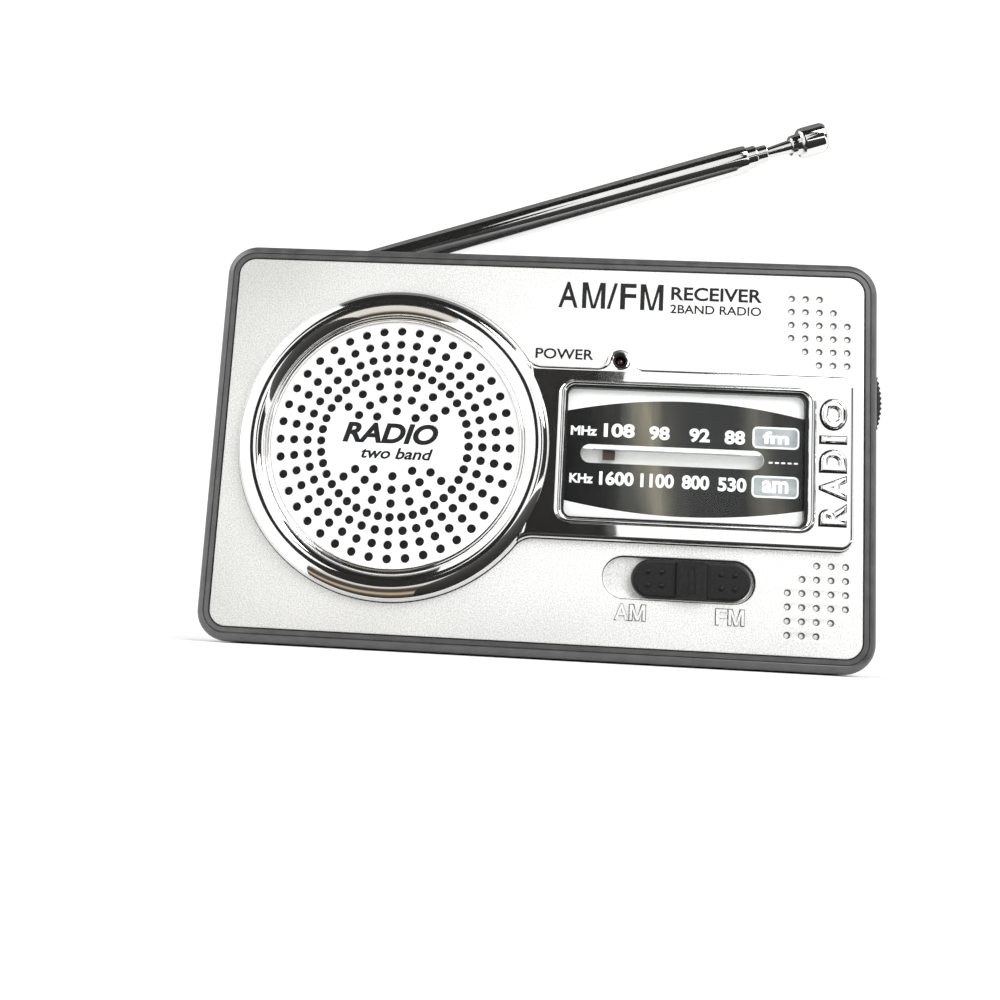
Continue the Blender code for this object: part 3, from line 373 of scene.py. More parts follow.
NYLON = surface("nylon", (0.74, 0.71, 0.62), (0.87, 0.85, 0.78), (0.4, 0.55), 1.5)
LENS = surface("lens_red", (0.014, 0.003, 0.003), (0.030, 0.006, 0.005), (0.06, 0.12), 0.5,
               Coat_Weight=0.6, Coat_Roughness=0.04)
LAMINATE = surface("board_laminate", (0.27, 0.15, 0.045), (0.42, 0.25, 0.09), (0.45, 0.65), 0.8,
                   stretch=(4, 1, 1), relief=0.01)
ZINC = surface("zinc_plate", (0.50, 0.50, 0.47), (0.72, 0.72, 0.70), (0.22, 0.42), 1.4, 1.0,
               relief=0.004)
BRASS = surface("brass_turned", (0.58, 0.42, 0.17), (0.76, 0.58, 0.28), (0.2, 0.38), 0.8, 1.0)
FERRITE = surface("ferrite_black", (0.030, 0.030, 0.033), (0.070, 0.070, 0.075), (0.6, 0.85), 0.4,
                  relief=0.02)
COPPER = surface("enamelled_copper", (0.42, 0.15, 0.06), (0.70, 0.30, 0.13), (0.25, 0.4), 0.22,
                 0.85, stretch=(1, 40, 40), relief=0.05)
PAPER = surface("cone_paper_pulp", (0.018, 0.018, 0.018), (0.050, 0.049, 0.047), (0.85, 0.98),
                0.35, relief=0.02)
CELL_SLEEVE = surface("cell_sleeve_film", (0.07, 0.16, 0.26), (0.13, 0.27, 0.42), (0.2, 0.34), 2.0,
                      Coat_Weight=0.3)
CAPACITOR_SLEEVE = surface("capacitor_film", (0.02, 0.035, 0.09), (0.05, 0.08, 0.18), (0.25, 0.4),
                           1.0)


# ---------------------------------------------------------------- meshes
PIECES = bpy.data.collections.new("radio_pieces")
bpy.context.scene.collection.children.link(PIECES)
WORK = bpy.data.collections.new("cutting_shapes")
bpy.context.scene.collection.children.link(WORK)


def mesh_from(name, verts, faces, weld=0.002):
    """A welded mesh from millimetre points, its faces turned outwards."""
    mesh = bpy.data.meshes.new(name)
    mesh.from_pydata([[c * MM for c in v] for v in verts], [], faces)
    bm = bmesh.new()
    bm.from_mesh(mesh)
    bmesh.ops.remove_doubles(bm, verts=bm.verts, dist=weld * MM)
    bmesh.ops.recalc_face_normals(bm, faces=bm.faces)
    bm.to_mesh(mesh)
    bm.free()
    return mesh


def piece(name, mesh, material, body="case", stands_for=(), sharp=35, weighted=True):
    """Shows a mesh as a piece that rides on a body, with smooth shading between sharp edges."""
    obj = bpy.data.objects.new(name, mesh)
    PIECES.objects.link(obj)
    mesh.materials.clear()
    mesh.materials.append(material)
    mesh.shade_smooth()
    mesh.set_sharp_from_angle(angle=math.radians(sharp))
    if weighted:
        modifier = obj.modifiers.new("even_normals", "WEIGHTED_NORMAL")
        modifier.keep_sharp = True
    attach(obj, body)
    if stands_for:
        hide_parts(*stands_for)
    return obj


def strip_faces(first, second, count):
    """Quads between two rings of count points that start at those vertex numbers."""
    return [(first + i, first + (i + 1) % count, second + (i + 1) % count, second + i)
            for i in range(count)]


def cap_faces(loops, starts):
    """Triangles that fill an outline and its holes; starts are their first vertex numbers."""
    index = [start + i for loop, start in zip(loops, starts) for i in range(len(loop))]
    flat = [[Vector((x, z, 0.0)) for x, z in loop] for loop in loops]
    return [tuple(index[i] for i in face) for face in tessellate_polygon(flat)]


def plate_mesh(name, outline, holes, steps, dimples=(), dimple_steps=()):
    """A flat piece with shaped edges.

    steps are (inset, y) pairs round the edge from the front face to the back. A hole's edge grows
    by the inset, and a dimple is closed at its bottom instead of going through.
    """
    verts, faces, front, back = [], [], [], []
    for number, loop in enumerate([outline, *holes, *dimples]):
        sunk = number > len(holes)
        profile = dimple_steps if sunk else steps
        sign = -1.0 if number == 0 else 1.0
        starts = []
        for inset, y in profile:
            ring = shifted(loop, sign * inset)
            starts.append(len(verts))
            verts += [(x, y, z) for x, z in ring]
            if len(starts) == 1:
                front.append((ring, starts[0]))
        for a, b in zip(starts, starts[1:]):
            faces += strip_faces(a, b, len(loop))
        if sunk:
            faces.append(tuple(range(starts[-1], starts[-1] + len(loop))))
        else:
            back.append((ring, starts[-1]))
    for side in (front, back):
        faces += cap_faces([loop for loop, _ in side], [start for _, start in side])
    return mesh_from(name, verts, faces)


def round_edge(radius, y_front, y_back, count=4):
    """Steps of a plate whose front edge is rounded and whose back edge is square."""
    steps = []
    for i in range(count + 1):
        angle = math.radians(90 * i / count)
        steps.append((radius * (1 - math.sin(angle)), y_front + radius * (1 - math.cos(angle))))
    return steps + [(0.0, y_back)]


def loft_mesh(name, loops, y_values, closed=False):
    """Skin over loops at their y values; closed joins the last loop back to the first."""
    count = len(loops[0])
    verts = [(x, y, z) for loop, y in zip(loops, y_values) for x, z in loop]
    faces = []
    last = len(loops) if closed else len(loops) - 1
    for k in range(last):
        faces += strip_faces(k * count, (k + 1) % len(loops) * count, count)
    if not closed:
        faces += [tuple(range(count)), tuple(range((len(loops) - 1) * count, len(loops) * count))]
    return mesh_from(name, verts, faces)


def bead_mesh(name, loop, section):
    """A closed moulding round a loop; section holds its (outset, y) points in order."""
    return loft_mesh(name, [shifted(loop, out) for out, _ in section], [y for _, y in section],
                     closed=True)


FRONT_TURN = Matrix.Rotation(math.radians(90), 4, "X")


def lathe_mesh(name, profile, place, turn=FRONT_TURN, steps=96, closed=False, teeth=0, depth=0.0):
    """A turned shape of (radius, height) points; heights run along -Y by default.

    teeth and depth pull every other step of the outer points in, for a ridged finger wheel.
    """
    count = 2 * teeth if teeth else steps
    outer = max(r for r, _ in profile)
    verts, faces = [], []
    matrix = Matrix.Translation(place) @ turn
    for r, h in profile:
        for i in range(count):
            angle = 2 * math.pi * i / count
            reach = r - depth * (i % 2) if teeth and r > outer - 0.7 else r
            point = matrix @ Vector((reach * math.cos(angle), reach * math.sin(angle), h))
            verts.append(tuple(point))
    rings = len(profile)
    for k in range(rings if closed else rings - 1):
        faces += strip_faces(k * count, (k + 1) % rings * count, count)
    if not closed:
        for k in (0, rings - 1):
            if profile[k][0] > 0:
                faces.append(tuple(range(k * count, (k + 1) * count)))
    return mesh_from(name, verts, faces, 0.0005)


def merged(name, meshes):
    """One mesh that holds copies of several."""
    bm = bmesh.new()
    for mesh in meshes:
        bm.from_mesh(mesh)
    whole = bpy.data.meshes.new(name)
    bm.to_mesh(whole)
    bm.free()
    return whole


def round_bar(radius, low, high, edge):
    """Profile of a closed bar or disc with both edges rounded."""
    half = [(radius - edge + edge * math.sin(math.radians(a)),
             edge - edge * math.cos(math.radians(a))) for a in (0, 30, 60, 90)]
    return ([(0.0, high)] + [(r, high - d) for r, d in half]
            + [(r, low + d) for r, d in reversed(half)] + [(0.0, low)])


def text_mesh(name, words, x, z, y_front, depth, weight=0.0, slant=0.0, edge=0.0):
    """Raised or printed lettering that fills the given X and Z limits."""
    curve = bpy.data.curves.new(name, "FONT")
    curve.body = words
    curve.offset = weight
    curve.shear = slant
    curve.extrude = 0.05
    curve.bevel_depth = edge
    curve.resolution_u = 5
    source = bpy.data.objects.new(name + "_type", curve)
    WORK.objects.link(source)
    bpy.context.view_layer.update()
    mesh = bpy.data.meshes.new_from_object(
        source.evaluated_get(bpy.context.evaluated_depsgraph_get()))
    bpy.data.objects.remove(source, do_unlink=True)
    corners = [[v.co[axis] for v in mesh.vertices] for axis in range(3)]
    low, high = [min(c) for c in corners], [max(c) for c in corners]
    for vert in mesh.vertices:
        part = [(vert.co[axis] - low[axis]) / (high[axis] - low[axis]) for axis in range(3)]
        vert.co = (MM * (x[0] + part[0] * (x[1] - x[0])), MM * (y_front + (1 - part[2]) * depth),
                   MM * (z[0] + part[1] * (z[1] - z[0])))
    bm = bmesh.new()
    bm.from_mesh(mesh)
    bmesh.ops.remove_doubles(bm, verts=bm.verts, dist=0.001 * MM)
    bmesh.ops.recalc_face_normals(bm, faces=bm.faces)
    bm.to_mesh(mesh)
    bm.free()
    return mesh


def letter_m(name, x, z, y_front, depth, bar):
    """A capital M of straight strokes, its uprights one bar wide."""
    (x0, x1), (z0, z1) = x, z
    middle, half, foot, shoulder = (x0 + x1) / 2, (x1 - x0) / 2, 0.5 * bar, 1.25 * bar
    armpit = z1 - 1.7 * bar
    notch = z1 - (half - shoulder) * (armpit - z0) / (half - foot - bar)
    points = [(x0, z0), (x0 + bar, z0), (x0 + bar, armpit), (middle - foot, z0),
              (middle + foot, z0), (x1 - bar, armpit), (x1 - bar, z0), (x1, z0), (x1, z1),
              (x1 - shoulder, z1), (middle, notch), (x0 + shoulder, z1), (x0, z1)]
    return plate_mesh(name, points, [], [(0.0, y_front), (0.0, y_front + depth)])


def lettering(name, glyphs, z, y_front, depth, weight, bar, grow=0.0):
    """Letters in one mesh; glyphs are (letter, left, right), grow widens each on every side."""
    meshes = []
    for letter, left, right in glyphs:
        limits_x, limits_z = (left - grow, right + grow), (z[0] - grow, z[1] + grow)
        if letter == "M":
            meshes.append(letter_m(name, limits_x, limits_z, y_front, depth, bar + 2 * grow))
        else:
            meshes.append(text_mesh(name, letter, limits_x, limits_z, y_front, depth, weight))
    return merged(name, meshes)


def turned_upright(mesh, x, z):
    """Turns lettering a quarter turn about the middle of its limits, to read upwards."""
    centre = Vector((sum(x) / 2 * MM, 0.0, sum(z) / 2 * MM))
    mesh.transform(Matrix.Translation(centre) @ Matrix.Rotation(math.radians(-90), 4, "Y")
                   @ Matrix.Translation(-centre))
    return mesh


def cutter(mesh):
    obj = bpy.data.objects.new(mesh.name, mesh)
    WORK.objects.link(obj)
    return obj


def box_cutter(name, x, y, z, radius=0.0):
    """A box to cut with, its edges along Y rounded when radius is given."""
    loop = rounded(x, z, radius) if radius else [(x[0], z[0]), (x[1], z[0]), (x[1], z[1]),
                                                 (x[0], z[1])]
    return cutter(loft_mesh(name, [loop, loop], y))


def rod_cutter(name, cx, cz, radius, y, steps=32):
    loop = circle(cx, cz, radius, steps)
    return cutter(loft_mesh(name, [loop, loop], y))


def carve(mesh, cuts=(), joins=()):
    """The mesh after joining and then cutting with other shapes, which are used up."""
    obj = cutter(mesh)
    for operation, others in (("UNION", joins), ("DIFFERENCE", cuts)):
        for other in others:
            modifier = obj.modifiers.new(operation.lower(), "BOOLEAN")
            modifier.operation, modifier.object, modifier.solver = operation, other, "EXACT"
    bpy.context.view_layer.update()
    made = bpy.data.meshes.new_from_object(
        obj.evaluated_get(bpy.context.evaluated_depsgraph_get()))
    made.name = mesh.name + "_carved"
    for used in [obj, *cuts, *joins]:
        bpy.data.objects.remove(used, do_unlink=True)
    return made


# ---------------------------------------------------------------- case
def case_loop(inset, corner=None, lift=0.0):
    """The case's outline drawn in by an inset on every side."""
    radius = CASE_CORNER if corner is None else corner
    return rounded((-HALF_W + inset, HALF_W - inset),
                   (MIDDLE_Z - HALF_H + inset + lift, MIDDLE_Z + HALF_H - inset - lift), radius, 14)


def pocket_loop(grow):
    """The panel's seat, a little larger than the panel."""
    return rounded((PANEL_LOW.x - grow, PANEL_HIGH.x + grow),
                   (PANEL_LOW.z - grow, PANEL_HIGH.z + grow), PANEL_CORNER + grow, 14)


def front_case():
    """Dark tray: panel seat, flat inner rim, fine step, sloping outer rim and drafted sides."""
    draft = FRONT_DRAFT
    rings = [(pocket_loop(0.2), POCKET_Y), (pocket_loop(0.2), RIM_Y + 0.12),
             (pocket_loop(0.28), RIM_Y), (pocket_loop(0.98), RIM_Y),
             (pocket_loop(1.04), RIM_Y + 0.20), (pocket_loop(1.14), RIM_Y + 0.22),
             (pocket_loop(1.20), RIM_Y + 0.04), (pocket_loop(1.30), RIM_Y),
             (case_loop(draft + 0.62, 5.1), RIM_Y + 0.22),
             (case_loop(draft + 0.24, 5.35), RIM_Y + 0.62),
             (case_loop(draft + 0.06, 5.5), RIM_Y + 1.10),
             (case_loop(draft, 5.55), RIM_Y + 1.6),
             (case_loop(0.03), SPLIT_FRONT - 0.25), (case_loop(0.15), SPLIT_FRONT),
             (case_loop(WALL, CASE_CORNER - WALL), SPLIT_FRONT),
             (case_loop(WALL, CASE_CORNER - WALL), POCKET_Y + 1.2)]
    tray = loft_mesh("front_case", [loop for loop, _ in rings], [y for _, y in rings])
    wheel_low, wheel_high = limits("tuning_wheel")
    wheel_z = (wheel_low.z + wheel_high.z) / 2
    shape = carve(tray, [
        rod_cutter("speaker_opening", SPEAKER_X, SPEAKER_Z, 23.4, (-14, -8), 96),
        box_cutter("dial_opening", (4.0, 48.0), (-14, -8), (25.0, 49.0), 2.0),
        box_cutter("switch_opening", (RECESS_X[0] - 1.1, RECESS_X[1] + 1.1), (-14, -8),
                   (RECESS_Z[0] - 1.1, RECESS_Z[1] + 1.1), 4.8),
        rod_cutter("led_opening", LED_X, LED_Z, 1.4, (-14, -8)),
        box_cutter("tuning_opening", (55, 65), (-8.1, -4.1), (wheel_z - 11.6, wheel_z + 11.6))])
    piece("front_case", shape, RIM_BLACK, stands_for=["front_cabinet"])
    seam = loft_mesh("case_seam", [case_loop(0.55), case_loop(0.55), case_loop(1.2, 4.4),
                                   case_loop(1.2, 4.4)],
                     (SPLIT_FRONT - 0.5, SPLIT_BACK + 0.5, SPLIT_BACK + 0.5, SPLIT_FRONT - 0.5),
                     closed=True)
    piece("case_seam", seam, KNOB_BLACK)


LABEL_X, LABEL_Z, LABEL_DEPTH = (-34.0, 34.0), (36.0, 58.0), 0.3


def back_label():
    """Printed facts in a shallow field; X runs backwards so that it reads from behind."""
    floor_y = BACK_Y - LABEL_DEPTH
    for index, (words, wide, low, tall) in enumerate((
            ("AM/FM 2 BAND RECEIVER", 50.0, 50.6, 3.6), ("FM 88-108 MHz", 26.0, 45.6, 2.4),
            ("AM 530-1600 KHz", 29.0, 42.1, 2.4), ("DC 3V   R03 x 2", 26.0, 38.6, 2.4)), start=1):
        mesh = text_mesh(f"back_line_{index}", words, (wide / 2, -wide / 2), (low, low + tall),
                         floor_y - 0.02, 0.04)
        piece(f"back_line_{index}", mesh, PRINT_GREY, weighted=False)


def rear_case():
    """Back half: rounded back edge, antenna ledge, battery well, posts and openings."""
    loops = [case_loop(0.15), case_loop(0.03), case_loop(0.0)]
    depths = [SPLIT_BACK, SPLIT_BACK + 0.25, SPLIT_BACK + 0.5]
    for step in range(9):
        angle = math.radians(90 * step / 8)
        inset = BACK_ROUND * (1 - math.cos(angle))
        loops.append(case_loop(inset, CASE_CORNER - inset))
        depths.append(BACK_Y - BACK_ROUND + BACK_ROUND * math.sin(angle))
    outer = loft_mesh("rear_case", loops, depths)
    inner_loop = case_loop(WALL, CASE_CORNER - WALL)
    ledge_y, ledge_z = 2.2, 68.2
    hollow = carve(loft_mesh("rear_hollow", [inner_loop, inner_loop], (-8.0, BACK_Y - WALL)),
                   [box_cutter("ledge_inside", (-80, 80), (ledge_y - WALL, 30),
                               (ledge_z - WALL, 90))])
    shell = carve(outer, [box_cutter("ledge", (-80, 80), (ledge_y, 30), (ledge_z, 90)),
                          cutter(hollow)])
    door_low, door_high = limits("battery_door")
    bay_x, bay_y, bay_z = (-10.0, 40.0), -0.3, (3.6, 26.6)
    posts, bores = [], []
    for number in range(1, 5):
        low, high = limits(f"case_screw_{number}")
        x, z = (low.x + high.x) / 2, (low.z + high.z) / 2
        posts.append(rod_cutter(f"post_{number}", x, z, 3.4, (SPLIT_BACK + 0.1, BACK_Y - 0.8)))
        bores += [rod_cutter(f"post_bore_{number}", x, z, 1.5, (-5, 15), 24),
                  rod_cutter(f"post_recess_{number}", x, z, 2.7, (9.4, 15), 48)]
    jack_low, jack_high = limits("earphone_jack")
    jack_y, jack_z = (jack_low.y + jack_high.y) / 2, (jack_low.z + jack_high.z) / 2
    jack_bore = cutter(lathe_mesh("jack_bore", [(2.4, -55.0), (2.4, -70.0)], (0, jack_y, jack_z),
                                  Matrix.Rotation(math.radians(90), 4, "Y"), 48))
    volume_low, volume_high = limits("volume_wheel")
    volume_z = (volume_low.z + volume_high.z) / 2
    well = box_cutter("battery_well", (bay_x[0] - 1.6, bay_x[1] + 1.6),
                      (bay_y - 1.2, BACK_Y - 0.5), (bay_z[0] - 2.8, bay_z[1] + 1.5))
    stud = limits("antenna_mount")
    stud_x, stud_y = (stud[0].x + stud[1].x) / 2, (stud[0].y + stud[1].y) / 2
    stud_bore = cutter(lathe_mesh("stud_bore", [(2.3, 72.0), (2.3, 64.0)], (stud_x, stud_y, 0),
                                  Matrix.Identity(4), 48))
    shape = carve(shell, [*bores, jack_bore, stud_bore,
                          box_cutter("battery_bay", bay_x, (bay_y, 15), bay_z, 1.0),
                          box_cutter("door_seat", (door_low.x - 0.3, door_high.x + 0.3),
                                     (door_low.y - 0.3, 15), (door_low.z - 0.3, door_high.z + 0.3),
                                     0.8),
                          box_cutter("label_field", LABEL_X, (BACK_Y - LABEL_DEPTH, 15), LABEL_Z,
                                     1.2),
                          box_cutter("volume_opening", (55, 65), (volume_low.y - 0.6,
                                                                  volume_high.y + 0.6),
                                     (volume_z - 7.6, volume_z + 7.6))], [*posts, well])
    piece("rear_case", shape, CASE_BLACK, stands_for=["rear_cover"])


def battery_cover():
    """Door with moulded grip ribs and an arrow at its free edge."""
    low, high = limits("battery_door")
    outline = rounded((low.x, high.x), (low.z, high.z), 0.6, 4)
    back_face = [(inset, high.y - (y - low.y)) for inset, y in round_edge(0.25, low.y, high.y)]
    mesh = plate_mesh("battery_cover", outline, [], back_face)
    middle = (low.z + high.z) / 2
    depth = (high.y - 0.45, high.y + 1.0)
    grooves = [box_cutter(f"groove_{k}", (high.x - 4.0 - 1.5 * k, high.x - 3.3 - 1.5 * k), depth,
                          (middle - 5.5, middle + 5.5), 0.3) for k in range(5)]
    tip = high.x - 13.5
    arrow = [(tip, middle), (tip - 4.0, middle + 2.6), (tip - 4.0, middle - 2.6)]
    grooves.append(cutter(loft_mesh("arrow", [arrow, arrow], depth)))
    piece("battery_cover", carve(mesh, grooves), CASE_BLACK, "door",
          ["battery_door"])


front_case()
rear_case()
back_label()
battery_cover()


# ---------------------------------------------------------------- front panel
DIMPLE_R = 0.62
DIMPLE_PITCH_X, DIMPLE_PITCH_Z = 2.48, 2.44
TOP_DIMPLES = ((66.8, 0, 3), (64.36, 0, 4), (61.92, 0, 5), (59.48, 0, 5), (57.04, 1, 4),
               (54.6, 2, 3))
LOW_DIMPLES = ((18.7, 2, 3), (16.26, 1, 4), (13.82, 0, 5), (11.38, 0, 5), (8.94, 0, 4),
               (6.5, 0, 3))
DIMPLE_X = 44.3


def dimple_loops():
    """Two clipped fields of small dimples in the right corners: (height, first column, count)."""
    loops = []
    for z, first, count in TOP_DIMPLES + LOW_DIMPLES:
        for column in range(first, first + count):
            loops.append(circle(DIMPLE_X + column * DIMPLE_PITCH_X, z, DIMPLE_R, 20))
    return loops


def panel():
    """Silver plate with openings, dimples and the dished recess of the band switch."""
    outline = rounded((PANEL_LOW.x, PANEL_HIGH.x), (PANEL_LOW.z, PANEL_HIGH.z), PANEL_CORNER, 14)
    recess = rounded(RECESS_X, RECESS_Z, 3.78, 16)
    holes = [circle(SPEAKER_X, SPEAKER_Z, 25.6, 96), rounded((3.0, 49.0), (23.4, 50.4), 2.0),
             circle(LED_X, LED_Z, 1.4, 32), recess]
    dimple = [(0.05, PANEL_Y), (0.0, PANEL_Y + 0.03), (-0.05, PANEL_Y + 0.24),
              (-0.20, PANEL_Y + 0.34), (-0.45, PANEL_Y + 0.30)]
    mesh = plate_mesh("silver_panel", outline, holes,
                      round_edge(0.15, PANEL_Y, PANEL_Y + PANEL_THICK, 3), dimple_loops(), dimple)
    piece("silver_panel", mesh, SILVER, stands_for=["front_panel"])
    # Painted shade: a dark ring on each dimple's wall, a little off centre, stands for the shade
    # inside the dimple.
    rings = []
    for loop in dimple_loops():
        inner = [(x - 0.05, z - 0.05) for x, z in shifted(loop, -0.20)]
        rings.append(loft_mesh("ring", [loop, loop, inner, inner],
                               [PANEL_Y + y for y in (0.08, 0.30, 0.30, 0.18)], closed=True))
    piece("dimple_painted_shade", merged("dimple_painted_shade", rings), SHADE)

    cup = [(0.0, PANEL_Y + 0.15), (-0.04, RECESS_FLOOR - 0.45), (-0.18, RECESS_FLOOR - 0.14),
           (-0.45, RECESS_FLOOR)]
    floor = loft_mesh("switch_dish", [shifted(recess, out) for out, _ in cup], [y for _, y in cup])
    bm = bmesh.new()
    bm.from_mesh(floor)
    lids = [f for f in bm.faces if abs(f.calc_center_median().y - cup[0][1] * MM) < 1e-6]
    bmesh.ops.delete(bm, geom=lids, context="FACES")
    bm.to_mesh(floor)
    bm.free()
    dish = piece("switch_dish", floor, SILVER)
    solid = dish.modifiers.new("sheet", "SOLIDIFY")
    solid.thickness, solid.offset = 0.3 * MM, -1.0
    # Painted shadow: a thin dark crescent inside the recess, widest at the top and right, where the
    # wall would shade the dish.
    edge = [(x - 0.11, z - 0.11) for x, z in shifted(recess, -0.19)]
    line = plate_mesh("switch_painted_shadow", recess, [edge],
                      [(0.0, PANEL_Y + 0.10), (0.0, PANEL_Y + 0.25)])
    piece("switch_painted_shadow", line, PRINT_DARK)
    slot = plate_mesh("switch_slot", rounded((20.8, 30.1), (13.8, 16.4), 0.6, 4), [],
                      [(0.0, RECESS_FLOOR - 0.03), (0.0, RECESS_FLOOR + 0.1)])
    piece("switch_slot", slot, PRINT_DARK)


PRINT = 0.03
panel()
for label, words, x, z, weight in (
        ("kind_name", "RECEIVER", (22.7, 39.0), (65.75, 68.3), 0.022),
        ("band_count", "2BAND RADIO", (22.6, 38.9), (63.3, 64.95), 0.014),
        ("power_name", "POWER", (-1.4, 9.1), (54.0, 55.95), 0.016)):
    piece(label, text_mesh(label, words, x, z, PANEL_Y - PRINT, PRINT, weight), PRINT_DARK,
          weighted=False)
BAND_NAME = (("A", 2.3, 5.85), ("M", 6.6, 10.8), ("/", 11.1, 13.0), ("F", 13.5, 16.4),
             ("M", 17.15, 21.3))
piece("band_name", lettering("band_name", BAND_NAME, (63.7, 68.6), PANEL_Y - PRINT, PRINT, 0.012,
                             0.78), PRINT_DARK, weighted=False)
for label, glyphs in (("am_mark", (("A", 14.6, 17.0), ("M", 17.2, 19.9))),
                      ("fm_mark", (("F", 32.1, 34.0), ("M", 34.25, 36.9)))):
    z = (7.7, 10.4)
    piece(label, lettering(label, glyphs, z, PANEL_Y - 0.28, 0.28, 0.012, 0.44), SILVER,
          weighted=False)
    # Painted shadow: a wider dark print round each raised mark, for the shadow line along its edge.
    piece(label + "_edge", lettering(label + "_edge", glyphs, z, PANEL_Y - PRINT, PRINT, 0.012,
                                     0.44, 0.14), SHADE, weighted=False)


# ---------------------------------------------------------------- chrome trim
def trim():
    """Bright ring, dial frame, window lip and raised letters, over a dark shadow line."""
    shadow = plate_mesh("trim_shadow", shifted(trim_outline(), 0.16),
                        [circle(SPEAKER_X, SPEAKER_Z, 24.0, 96),
                         rounded(WINDOW_X, WINDOW_Z, WINDOW_CORNER)],
                        [(0.0, PANEL_Y - 0.05), (0.0, PANEL_Y)])
    piece("trim_shadow", shadow, PRINT_DARK)

    crest, half_width, foot = 25.85, RING_R - 25.85, 0.2
    bulge = [(crest + half_width * math.cos(math.radians(a)),
              foot + (RING_RISE - foot) * math.sin(math.radians(a))) for a in range(0, 156, 6)]
    bezel = [(22.98 + 0.36 * math.cos(math.radians(a)), 0.95 + 0.36 * math.sin(math.radians(a)))
             for a in range(20, 181, 20)]
    section = ([(RING_R, 0.06)] + bulge + [(23.46, 0.98)] + bezel + [(22.62, 0.06)])
    profile = [(r, h - PANEL_Y) for r, h in section]
    ring = lathe_mesh("speaker_ring", profile, (SPEAKER_X, 0, SPEAKER_Z), steps=160, closed=True)
    piece("speaker_ring", ring, CHROME, stands_for=["chrome_trim"], sharp=50)

    outline = [p for p in trim_outline()
               if math.dist(p, (SPEAKER_X, SPEAKER_Z)) > RING_R + 0.02]
    overlap = math.degrees(math.acos((FRAME_X[0] + 0.6 - SPEAKER_X) / 27.0))
    outline = arc(SPEAKER_X, SPEAKER_Z, 27.0, overlap, -overlap, 24) + outline
    holes = [shifted(rounded(WINDOW_X, WINDOW_Z, WINDOW_CORNER), 0.3),
             circle(LED_X, LED_Z, LED_HOLE_R, 32)]
    frame_face = PANEL_Y - FRAME_RISE
    face = plate_mesh("dial_frame", outline, holes,
                      round_edge(0.75, frame_face, PANEL_Y - 0.05, 8))
    piece("dial_frame", face, CHROME)

    inner = rounded(WINDOW_X, WINDOW_Z, WINDOW_CORNER, 10)
    outer = rounded(LIP_X, LIP_Z, WINDOW_CORNER + 1.0, 10)
    lip = [(1.0, frame_face + 0.2), (1.0, frame_face)]
    lip += [(0.55 + 0.45 * math.cos(math.radians(a)),
             frame_face - 0.5 * math.sin(math.radians(a))) for a in range(15, 181, 15)]
    lip += [(0.0, frame_face + 0.55), (0.0, PANEL_Y - 0.1), (1.0, PANEL_Y - 0.1)]
    loops = [[(a + part * (c - a), b + part * (d - b)) for (a, b), (c, d) in zip(inner, outer)]
             for part, _ in lip]
    bead = loft_mesh("window_lip", loops, [y for _, y in lip], closed=True)
    piece("window_lip", bead, CHROME, sharp=50)
    liner = [(0.06, frame_face + 0.35), (-0.30, frame_face + 0.35), (-0.30, PANEL_Y + 0.05),
             (0.06, PANEL_Y + 0.05)]
    gasket = bead_mesh("window_liner", rounded(WINDOW_X, WINDOW_Z, WINDOW_CORNER, 10), liner)
    piece("window_liner", gasket, KNOB_BLACK, sharp=50)

    centre_z, length = 36.8, 22.2
    for index, (letter, start, end) in enumerate((("R", 0.0, 0.165), ("A", 0.205, 0.385),
                                                  ("D", 0.425, 0.59), ("I", 0.655, 0.70),
                                                  ("O", 0.765, 1.0)), start=1):
        low = centre_z - length / 2 + start * length
        high = centre_z - length / 2 + end * length
        middle_x, middle_z, tall = 51.4, (low + high) / 2, 4.3
        x = (middle_x - (high - low) / 2, middle_x + (high - low) / 2)
        z = (middle_z - tall / 2, middle_z + tall / 2)
        mesh = text_mesh(f"raised_letter_{index}", letter, x, z, frame_face - 0.75, 0.95, 0.012,
                         edge=0.05)
        piece(f"raised_letter_{index}", turned_upright(mesh, x, z), CHROME)
        # Painted shadow: a wider dark print round each raised letter, for the shadow line along its
        # edge.
        wide = [(a - 0.28, b + 0.28) for a, b in (x, z)]
        mesh = text_mesh(f"letter_edge_{index}", letter, *wide, frame_face - PRINT, PRINT, 0.05)
        piece(f"letter_edge_{index}", turned_upright(mesh, *wide), PRINT_DARK,
              weighted=False)


trim()


# ---------------------------------------------------------------- grille
def grille():
    """Pale disc with rings of round holes, left clear in the middle for the lettering."""
    hole_r, first_r, pitch = 0.82, 5.97, 2.484
    holes = []

    def row(number, angles):
        radius = first_r + pitch * number
        for degrees in angles:
            turn = math.radians(degrees)
            holes.append(circle(SPEAKER_X + radius * math.sin(turn),
                                SPEAKER_Z + radius * math.cos(turn), hole_r, 18))
    for number in range(3, 7):
        row(number, range(0, 360, 9))
    for number in (1, 2):
        row(number, [a + side for side in (0, 180) for a in range(-54, 55, 18)])
    row(0, [a + side for side in (0, 180) for a in (-36, 0, 36)])
    face = GRILLE_LOW.y + 0.35
    mesh = plate_mesh("grille_disc", circle(SPEAKER_X, SPEAKER_Z, GRILLE_R, 128), holes,
                      [(0.05, face), (0.0, face + 0.05), (0.0, face + 0.7)])
    piece("grille_disc", mesh, GRILLE_WHITE, stands_for=["speaker_grille"])
    for label, words, x, z, weight, slant in (
            ("grille_name", "RADIO", (-35.5, -18.15), (SPEAKER_Z - 0.1, SPEAKER_Z + 3.7), 0.038,
             0.25),
            ("grille_line", "two band", (-31.9, -18.9), (SPEAKER_Z - 2.9, SPEAKER_Z - 0.8), 0.024,
             0.25)):
        piece(label, text_mesh(label, words, x, z, face - PRINT, PRINT, weight, slant),
              PRINT_DARK, weighted=False)


grille()


